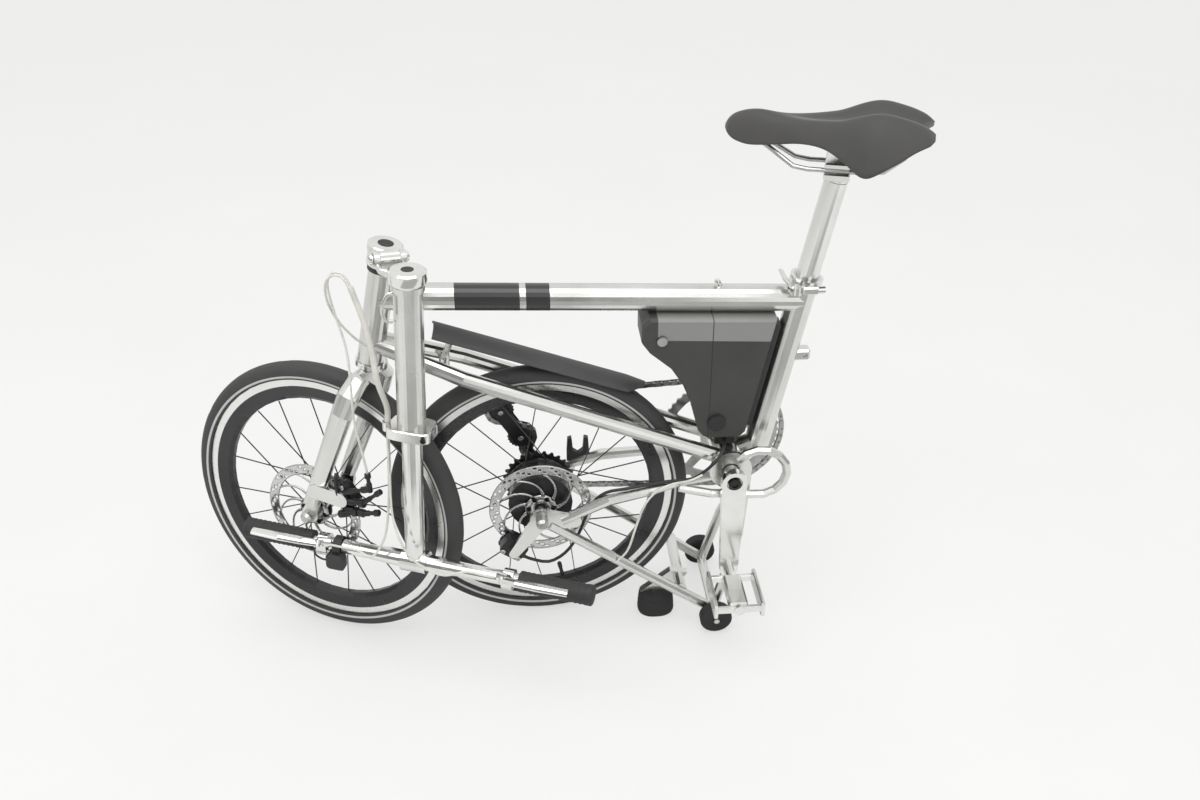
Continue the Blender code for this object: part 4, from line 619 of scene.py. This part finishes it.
def at_brake(place, angle, r, y, s):
    """A place on a brake: out from the axle, to the wheel's left and along its rim."""
    out = Vector((cos(angle), 0, sin(angle)))
    along = Vector((-sin(angle), 0, cos(angle)))
    return place @ (out * r + along * s + Vector((0, -y, 0)))


for side, (place, angle, body, outer) in brakes.items():
    verts = []
    faces = []
    for ring in range(9):
        r = 0.0640 + 0.0020 * ring
        verts += [place @ Vector((r * cos(2 * pi * i / 180), DISC_Y, r * sin(2 * pi * i / 180))) for i in range(180)]
    for row in range(8):
        for i in range(180):
            hole = ((row in (1, 2) and i % 10 in (1, 2)) or (row in (3, 4) and i % 10 in (4, 5))
                    or (row in (5, 6) and i % 10 in (7, 8)))
            if not hole:
                j = (i + 1) % 180
                faces.append((row * 180 + i, row * 180 + j, row * 180 + 180 + j, row * 180 + 180 + i))
    for arm in range(9):
        base = len(verts)
        for i in range(9):
            bend = 2 * pi * arm / 9 + radians(46) * (i / 8) ** 1.3
            r = 0.0225 + 0.0425 * i / 8
            wide = (0.0030 - 0.0010 * sin(pi * i / 8)) / r
            for turn in (bend - wide, bend + wide):
                verts.append(place @ Vector((r * cos(turn), DISC_Y, r * sin(turn))))
        for i in range(8):
            faces.append((base + 2 * i, base + 2 * i + 1, base + 2 * i + 3, base + 2 * i + 2))
    base = len(verts)
    for r in (0.0095, 0.0245):
        verts += [place @ Vector((r * cos(2 * pi * i / 48), DISC_Y, r * sin(2 * pi * i / 48))) for i in range(48)]
    faces += [(base + i, base + (i + 1) % 48, base + 48 + (i + 1) % 48, base + 48 + i) for i in range(48)]
    disc = solid(side + "_disc", verts, faces, rotor_steel, side + "_wheel", 20)
    thick = disc.modifiers.new("thick", "SOLIDIFY")
    thick.thickness = 0.0018
    thick.offset = 0.0
    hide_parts(side + "_rotor")
    axis = (place.to_3x3() @ left).normalized()
    spot = partial(at_brake, place, angle)
    rim_way = spot(0, 0, 1) - spot(0, 0, 0)
    bolts(side + "_disc_bolts", side + "_wheel", bolt_black, [
        (place @ Vector((0.0190 * cos(pi * k / 3), -0.0421, 0.0190 * sin(pi * k / 3))), axis, 0.0042,
         0.0020 if side == "rear" else 0.0007) for k in range(6)])
    parts = []
    for low_y, high_y, r0, r1 in ((0.0350, 0.0392, 0.0620, 0.0935), (0.0440, outer - 0.004, 0.0610, 0.0940),
                                  (0.0380, 0.0460, 0.0835, 0.0940)):
        parts.append(skin([[spot((r0 + r1) / 2 + c * ((r1 - r0) / 2 - inset), y, d * (0.0200 - inset))
                            for c, d in rounded_square(24, 0.45)]
                           for y, inset in ((low_y, 0.0015), (low_y + 0.0012, 0.0), (high_y - 0.0012, 0.0),
                                            (high_y, 0.0015))]))
    boss = about(spot(0.0760, outer - 0.0045, 0.002), axis)
    parts.append(skin(lathe(boss, [(0.0115, 0), (0.0115, 0.0015), (0.0095, 0.0030), (0.0060, 0.0034), (0.0058, 0.0020),
                                   (0, 0.0018)], 24)))
    adjuster = [(0.0045, -0.004), (0.0045, 0.002), (0.0038, 0.003), (0.0038, 0.006), (0.0028, 0.007)]
    parts.append(skin(lathe(about(spot(0.0880, 0.0500, 0.0205), rim_way), adjuster, 14, 0.06)))
    brake = solid(side + "_brake_body", *gather(parts), anodised, body, 35)
    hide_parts(side + "_caliper")
    bolts(side + "_brake_bolts", body, steel, [
        (spot(0.0880, outer - 0.0042, 0.0140), axis, 0.0042, 0.0030),
        (spot(0.0880, outer - 0.0042, -0.0140), axis, 0.0042, 0.0030),
        (spot(0.0760, outer - 0.0022, 0.0020), axis, 0.0042, 0.0026)])

arm_line = [spot(0.0760, 0.0595, 0.0020), spot(0.0790, 0.0625, 0.0080), spot(0.0860, 0.0628, 0.0200),
            spot(0.0940, 0.0610, 0.0320), spot(0.0955, 0.0560, 0.0370)]
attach(cable("front_brake_arm", arm_line, 0.0058, anodised, 18)[0], "fork")
linkage = []
for near, far, thick in (((0.0800, 0.0560, 0.0080), (0.1360, 0.0600, -0.0060), 0.0048),
                         ((0.1330, 0.0598, -0.0110), (0.1480, 0.0580, 0.0160), 0.0042),
                         ((0.0780, 0.0560, -0.0060), (0.1120, 0.0610, -0.0220), 0.0062),
                         ((0.1060, 0.0606, -0.0205), (0.1520, 0.0610, -0.0170), 0.0040),
                         ((0.0700, 0.0550, -0.0160), (0.1000, 0.0610, -0.0360), 0.0055),
                         ((0.0930, 0.0606, -0.0330), (0.1250, 0.0610, -0.0450), 0.0046),
                         ((0.0540, 0.0565, -0.0200), (0.0900, 0.0590, -0.0290), 0.0062)):
    span = spot(*far) - spot(*near)
    long = span.length
    linkage.append(skin(lathe(about(spot(*near), span), [
        (0, 0), (thick * 0.8, 0), (thick, 0.001), (thick, long * 0.45), (thick * 0.72, long * 0.52),
        (thick * 0.72, long * 0.72), (thick * 1.15, long * 0.76), (thick * 1.15, long - 0.001),
        (thick * 0.9, long), (0, long)], 14)))
solid("front_brake_linkage", *gather(linkage), anodised, "fork", 35)


# Cranks and ring: forged polished cranks on a steel axle, each held by one bolt, with flat metal pedals and
# a stamped steel chainring on the far side.
chain_steel = finish("chain_steel", (0.30, 0.30, 0.29), (0.44, 0.44, 0.43), 0.34, 1.0, patch=60, grain=900, bump=0.1)
paint(mirror, "left_crank", "right_crank", "left_pedal", "right_pedal")
paint(steel, "crank_axle")
paint(chain_steel, "chainring")
near_side = Vector(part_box("left_crank")[0]).y - 0.0003
far_side = Vector(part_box("right_crank")[1]).y + 0.0003
bolts("crank_bolts", "crank", bolt_black, [(Vector((bracket.x, near_side, bracket.z)), left, 0.0100, 0.0035),
                                           (Vector((bracket.x, far_side, bracket.z)), -left, 0.0100, 0.0035)])


# Chain: stamped side plates riveted in pairs over rollers, alternately wide and narrow. It runs on the ring,
# the smallest sprocket and the derailleur's two pulleys.
CHAIN_PITCH = 0.0127
CHAIN_Y = 0.057
PLATE_RADIUS = 0.0036
rear_hub = Vector(joint["rear_wheel_spin"]["pos_m"]) - bracket


def pitch_radius(teeth):
    """Radius of the pins on a wheel with so many teeth."""
    return CHAIN_PITCH / (2 * sin(pi / teeth))


guide_at = (rear_hub.x - 0.025, rear_hub.z + 0.070)
tension_at = (rear_hub.x - 0.055, rear_hub.z + 0.120)
loop_wheels = [(0.0, 0.0, pitch_radius(50), 1), (*tension_at, pitch_radius(11), 1), (*guide_at, pitch_radius(11), -1),
               (rear_hub.x, rear_hub.z, pitch_radius(14), 1)]


def heading(a, b):
    """Direction of the straight run of chain from one wheel to the next."""
    dx = b[0] - a[0]
    dz = b[1] - a[1]
    return atan2(dz, dx) + asin((a[3] * a[2] - b[3] * b[2]) / sqrt(dx * dx + dz * dz))


line = []
for i, wheel in enumerate(loop_wheels):
    start = heading(loop_wheels[i - 1], wheel) - wheel[3] * pi / 2
    stop = heading(wheel, loop_wheels[(i + 1) % 4]) - wheel[3] * pi / 2
    sweep = (stop - start) % (2 * pi) if wheel[3] > 0 else -((start - stop) % (2 * pi))
    count = max(4, round(abs(sweep) * wheel[2] / CHAIN_PITCH * 2))
    line += [Vector((wheel[0] + wheel[2] * cos(start + sweep * k / count), CHAIN_Y,
                     wheel[1] + wheel[2] * sin(start + sweep * k / count))) for k in range(count + 1)]
runs = [(b - a).length for a, b in zip(line, line[1:] + line[:1])]
links = 2 * round(sum(runs) / CHAIN_PITCH / 2)
pins = []
at = 0.0
i = 0
for k in range(links):
    goal = sum(runs) * k / links
    while at + runs[i] < goal:
        at += runs[i]
        i += 1
    pins.append(bracket + line[i].lerp(line[(i + 1) % len(line)], (goal - at) / max(runs[i], 1e-9)))
parts = []
for k, pin in enumerate(pins):
    following = pins[(k + 1) % links]
    way = (following - pin).normalized()
    up = Vector((-way.z, 0, way.x))
    gap = 0.0029 if k % 2 else 0.0021
    for side in (-1, 1):
        ring = [end + way * PLATE_RADIUS * cos(first + pi * n / 6) + up * PLATE_RADIUS * sin(first + pi * n / 6)
                for end, first in ((following, -pi / 2), (pin, pi / 2)) for n in range(7)]
        parts.append(skin([[p + Vector((0, side * gap, 0)) for p in ring],
                           [p + Vector((0, side * (gap + 0.0007), 0)) for p in ring]]))
    parts.append(skin(lathe(Matrix.Translation(pin), [(0.0032, -0.0019), (0.0034, 0), (0.0032, 0.0019)], 8)))
    parts.append(skin(lathe(Matrix.Translation(pin), [(0.0016, -0.0036), (0.0016, 0.0036)], 6)))
chain = solid("chain_links", *gather(parts), chain_steel, "rear_triangle", 40)
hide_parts("chain")


# Sprockets: five toothed plates stamped from dark steel, with turned spacers between them, pushed on the
# driver of the rear hub.
dark_steel = finish("sprocket_steel", (0.10, 0.10, 0.10), (0.18, 0.18, 0.175), 0.36, 0.9, patch=50, grain=900)
parts = []
for k, radius in enumerate((0.0232, 0.031, 0.039, 0.047, 0.057)):
    y = CHAIN_Y - 0.0066 * k
    count = 2 * round(2 * pi * radius / CHAIN_PITCH)
    place = Matrix.Translation(bracket + rear_hub)
    rim = [(radius * 0.62, y - 0.0008), (radius, y - 0.0007), (radius, y + 0.0007), (radius * 0.62, y + 0.0008)]
    rings = [[place @ Vector((r * (0.915 if i % 4 in (2, 3) and r == radius else 1) * cos(2 * pi * i / (count * 2)), h,
                              r * (0.915 if i % 4 in (2, 3) and r == radius else 1) * sin(2 * pi * i / (count * 2))))
              for i in range(count * 2)] for r, h in rim]
    parts.append(skin(rings, closed=True))
    parts.append(skin(lathe(place, [(0.0175, y - 0.0040), (0.0215, y - 0.0040), (0.0215, y + 0.0012),
                                    (0.0175, y + 0.0012)], 24), closed=True))
sprockets = solid("sprocket_set", *gather(parts), dark_steel, "rear_wheel", 30)
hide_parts("cassette")


# Derailleur: a black anodised knuckle and cage on the rear triangle, with two moulded toothed pulleys that turn
# on bushes and are held by steel bolts.
paint(anodised, "derailleur_body", "derailleur_cage")
for name in ("guide_pulley", "tension_pulley"):
    spin = joint[name + "_spin"]
    wheel = [(0.0052, -0.0030), (0.0150, -0.0022), (0.0215, -0.0010), (0.0215, 0.0010), (0.0150, 0.0022),
             (0.0052, 0.0030)]
    rings = lathe(about(spin["pos_m"], spin["axis"]), wheel, 44, 0.09)
    pulley = solid(name + "_teeth", *skin(rings), moulded, name, 25)
    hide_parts(name)
cage_side = Vector(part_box("derailleur_cage")[0]).y - 0.0002
bolts("derailleur_bolts", "rear_triangle", steel, [
    (Vector((joint[name]["pos_m"][0], cage_side, joint[name]["pos_m"][2])), left, 0.0042, 0.0022)
    for name in ("guide_pulley_spin", "tension_pulley_spin")])


# Rear triangle: polished welded tubes, with a black forked casting on the far stay that holds the folded wheel,
# two rubber rollers to push the bicycle on, and a ribbed rubber cup that it stands on.
paint(polished, "rear_triangle")
paint(rubber, "roller_left", "roller_right")
catch_at = bracket + Vector((-0.2270, 0.0690, -0.0330))
fork_shape = [(-0.018, -0.016), (0.018, -0.016), (0.018, 0.004), (0.0165, 0.028), (0.0105, 0.030), (0.0085, 0.006),
              (0.0, -0.001), (-0.0085, 0.006), (-0.0105, 0.030), (-0.0165, 0.028), (-0.018, 0.004)]
rings = [[catch_at + Vector((x * grow, y, z * grow)) for x, z in fork_shape]
         for y, grow in ((-0.005, 0.93), (-0.0038, 1.0), (0.0038, 1.0), (0.005, 0.93))]
solid("fold_catch", *skin(rings), moulded, "rear_triangle", 30)
foot_low, foot_high = (Vector(v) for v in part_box("foot_bumper"))
foot_mid = (foot_low + foot_high) / 2
half = (foot_high - foot_low) / 2
rings = []
for k in range(17):
    h = -half.z + 2 * half.z * k / 16
    edge = min(k, 16 - k)
    rib = 0.03 if 3 < k < 14 and k % 3 == 0 else 0.0
    grow = (0.86, 0.95, 0.985, 1.0)[min(edge, 3)] - rib - 0.10 * (k / 16) ** 2
    rings.append([foot_mid + Vector((half.x * grow * c, half.y * grow * d, h)) for c, d in rounded_square(36, 0.8)])
foot = solid("foot_cup", *skin(rings), rubber, "rear_triangle", 35)
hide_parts("foot_bumper")


# Brake and motor cables: thin pale or black sleeves over wire. Those from the levers run into the guide on the
# post's clamp, and slack loops at the head let the post and the fork fold. The motor lead stops beside the head.
def on_frame(*places):
    """Places measured from the bottom bracket, as points of the row frame."""
    return [bracket + Vector(p) for p in places]


THIN_SLEEVE = 0.0036
THICK_SLEEVE = 0.0050
pale = finish("pale_sleeve", (0.60, 0.59, 0.54), (0.74, 0.73, 0.68), 0.42, patch=40, grain=1500, bump=0.08)
black_sleeve = finish("black_sleeve", (0.016, 0.016, 0.017), (0.030, 0.030, 0.031), 0.45, patch=60, grain=1500)


def free_cable(name, points, diameter, material, bodies, count=30):
    """A cable that rides on one body, or is left fixed in the world between two."""
    made, line, length = cable(name, points, diameter, material, count)
    if len(bodies) == 2:
        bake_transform(made)
    else:
        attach(made, *bodies)
    return made


sleeve_line = [guide - bar_down * 0.0070, guide - bar_down * 0.0300] + on_frame(
    (-0.5162, -0.0940, 0.2200), (-0.5195, -0.0890, 0.2620), (-0.5265, -0.0810, 0.3050), (-0.5412, -0.0680, 0.3545))
free_cable("cable_sleeve", sleeve_line, 0.0085, pale, ("post",), 30)
boot_top = front_hub + front_way * 0.0871 + steer_axis * 0.1207 - front_axis * 0.0580
boot_low = front_hub + front_way * 0.0908 + steer_axis * 0.1039 - front_axis * 0.0588
arm_root = front_hub + front_way * 0.0715 + steer_axis * 0.0809 - front_axis * 0.0582
brake_line = on_frame(
    (-0.5370, -0.0712, 0.3430), (-0.5415, -0.0675, 0.3570), (-0.5490, -0.0620, 0.3700), (-0.5615, -0.0570, 0.3720),
    (-0.5710, -0.0540, 0.3610), (-0.5730, -0.0525, 0.3420), (-0.5680, -0.0530, 0.3060), (-0.5580, -0.0600, 0.2585),
    (-0.5560, -0.0680, 0.2150), (-0.5576, -0.0704, 0.1400), (-0.5520, -0.0722, 0.0900)) + [
        boot_top, boot_low, arm_root]
free_cable("front_brake_cable", brake_line, THIN_SLEEVE, pale, ("fork", "post"),
           count=40)
motor_line = on_frame(
    (-0.5385, -0.0725, 0.3430), (-0.5435, -0.0690, 0.3560), (-0.5515, -0.0640, 0.3675), (-0.5630, -0.0590, 0.3685),
    (-0.5735, -0.0545, 0.3580), (-0.5775, -0.0500, 0.3400), (-0.5755, -0.0460, 0.3160), (-0.5650, -0.0415, 0.2860),
    (-0.5475, -0.0380, 0.2590), (-0.5314, -0.0340, 0.2418))
free_cable("front_motor_cable", motor_line, THIN_SLEEVE, pale, ("fork", "post"),
           count=36)
for side, way in (("left", -1), ("right", 1)):
    bracket_at = bar_mid + bar_way * way * 0.148
    lift = (Vector(joint[side + "_lever_pull"]["pos_m"]) - bracket_at) * 0.62
    across = bar_way * way
    line = [bracket_at - across * 0.017 + lift, bracket_at - across * 0.034 + lift * 1.05,
            bracket_at - across * 0.062 + lift * 1.1]
    if side == "left":
        line += [bar_mid - bar_way * 0.058 - bar_back * 0.027 - bar_down * 0.014,
                 bar_mid - bar_way * 0.040 - bar_back * 0.018 - bar_down * 0.050,
                 bar_mid - bar_way * 0.036 - bar_back * 0.008 - bar_down * 0.115]
    else:
        line += [bar_mid + bar_way * 0.050 - bar_back * 0.029 - bar_down * 0.006,
                 bar_mid + bar_way * 0.004 - bar_back * 0.034 - bar_down * 0.034,
                 bar_mid - bar_way * 0.025 - bar_back * 0.022 - bar_down * 0.088]
    slip = bar_back * 0.0022 * way
    line += [guide + slip + bar_down * 0.060, guide + slip + bar_down * 0.0070]
    free_cable(side + "_lever_cable", line, THIN_SLEEVE, pale, ("bar", "post"), count=36)
boot_line = on_frame((-0.046, -0.0575, 0.003), (-0.034, -0.0590, 0.016), (-0.022, -0.0550, 0.028),
                     (-0.013, -0.0430, 0.036), (-0.008, -0.0270, 0.038), (-0.006, -0.0165, 0.036))
free_cable("boot_cable", boot_line, THICK_SLEEVE, black_sleeve, ("rear_triangle", "frame"),
           count=20)
stay_line = on_frame((-0.046, -0.0625, 0.004), (-0.066, -0.0622, -0.006), (-0.092, -0.0605, -0.012),
                     (-0.116, -0.0635, -0.022), (-0.135, -0.0680, -0.044), (-0.148, -0.0740, -0.079),
                     (-0.159, -0.0795, -0.115), (-0.168, -0.0810, -0.130), (-0.179, -0.0790, -0.1440))
free_cable("stay_cable", stay_line, THIN_SLEEVE, pale, ("rear_triangle",))
cable_line = [at_brake(*brakes["rear"][:2], 0.0836, 0.0555, reach) for reach in (0.0200, 0.0340)]
cable_line += on_frame((-0.2840, -0.0555, -0.1545), (-0.2580, -0.0555, -0.1390), (-0.2390, -0.0550, -0.1100),
                       (-0.2260, -0.0530, -0.0760), (-0.2130, -0.0515, -0.0460), (-0.1930, -0.0545, -0.0255),
                       (-0.1640, -0.0570, -0.0186), (-0.1250, -0.0535, -0.0155), (-0.1000, -0.0505, -0.0140),
                       (-0.0780, -0.0515, -0.0125), (-0.0590, -0.0555, -0.0070), (-0.0460, -0.0575, 0.0030))
rear_cable = free_cable("rear_brake_cable", cable_line, THICK_SLEEVE, black_sleeve, ("rear_triangle",),
                        count=40)
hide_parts("rear_cable")
lead_line = [unit_at - bar_way * 0.0140 + bar_down * 0.002, unit_at - bar_way * 0.0240 + bar_down * 0.002,
             unit_at - bar_way * 0.0340 - bar_down * 0.004, unit_at - bar_way * 0.0345 - bar_down * 0.015,
             unit_at - bar_way * 0.0270 - bar_down * 0.021]
free_cable("unit_lead", lead_line, 0.0030, black_sleeve, ("bar",), 24)
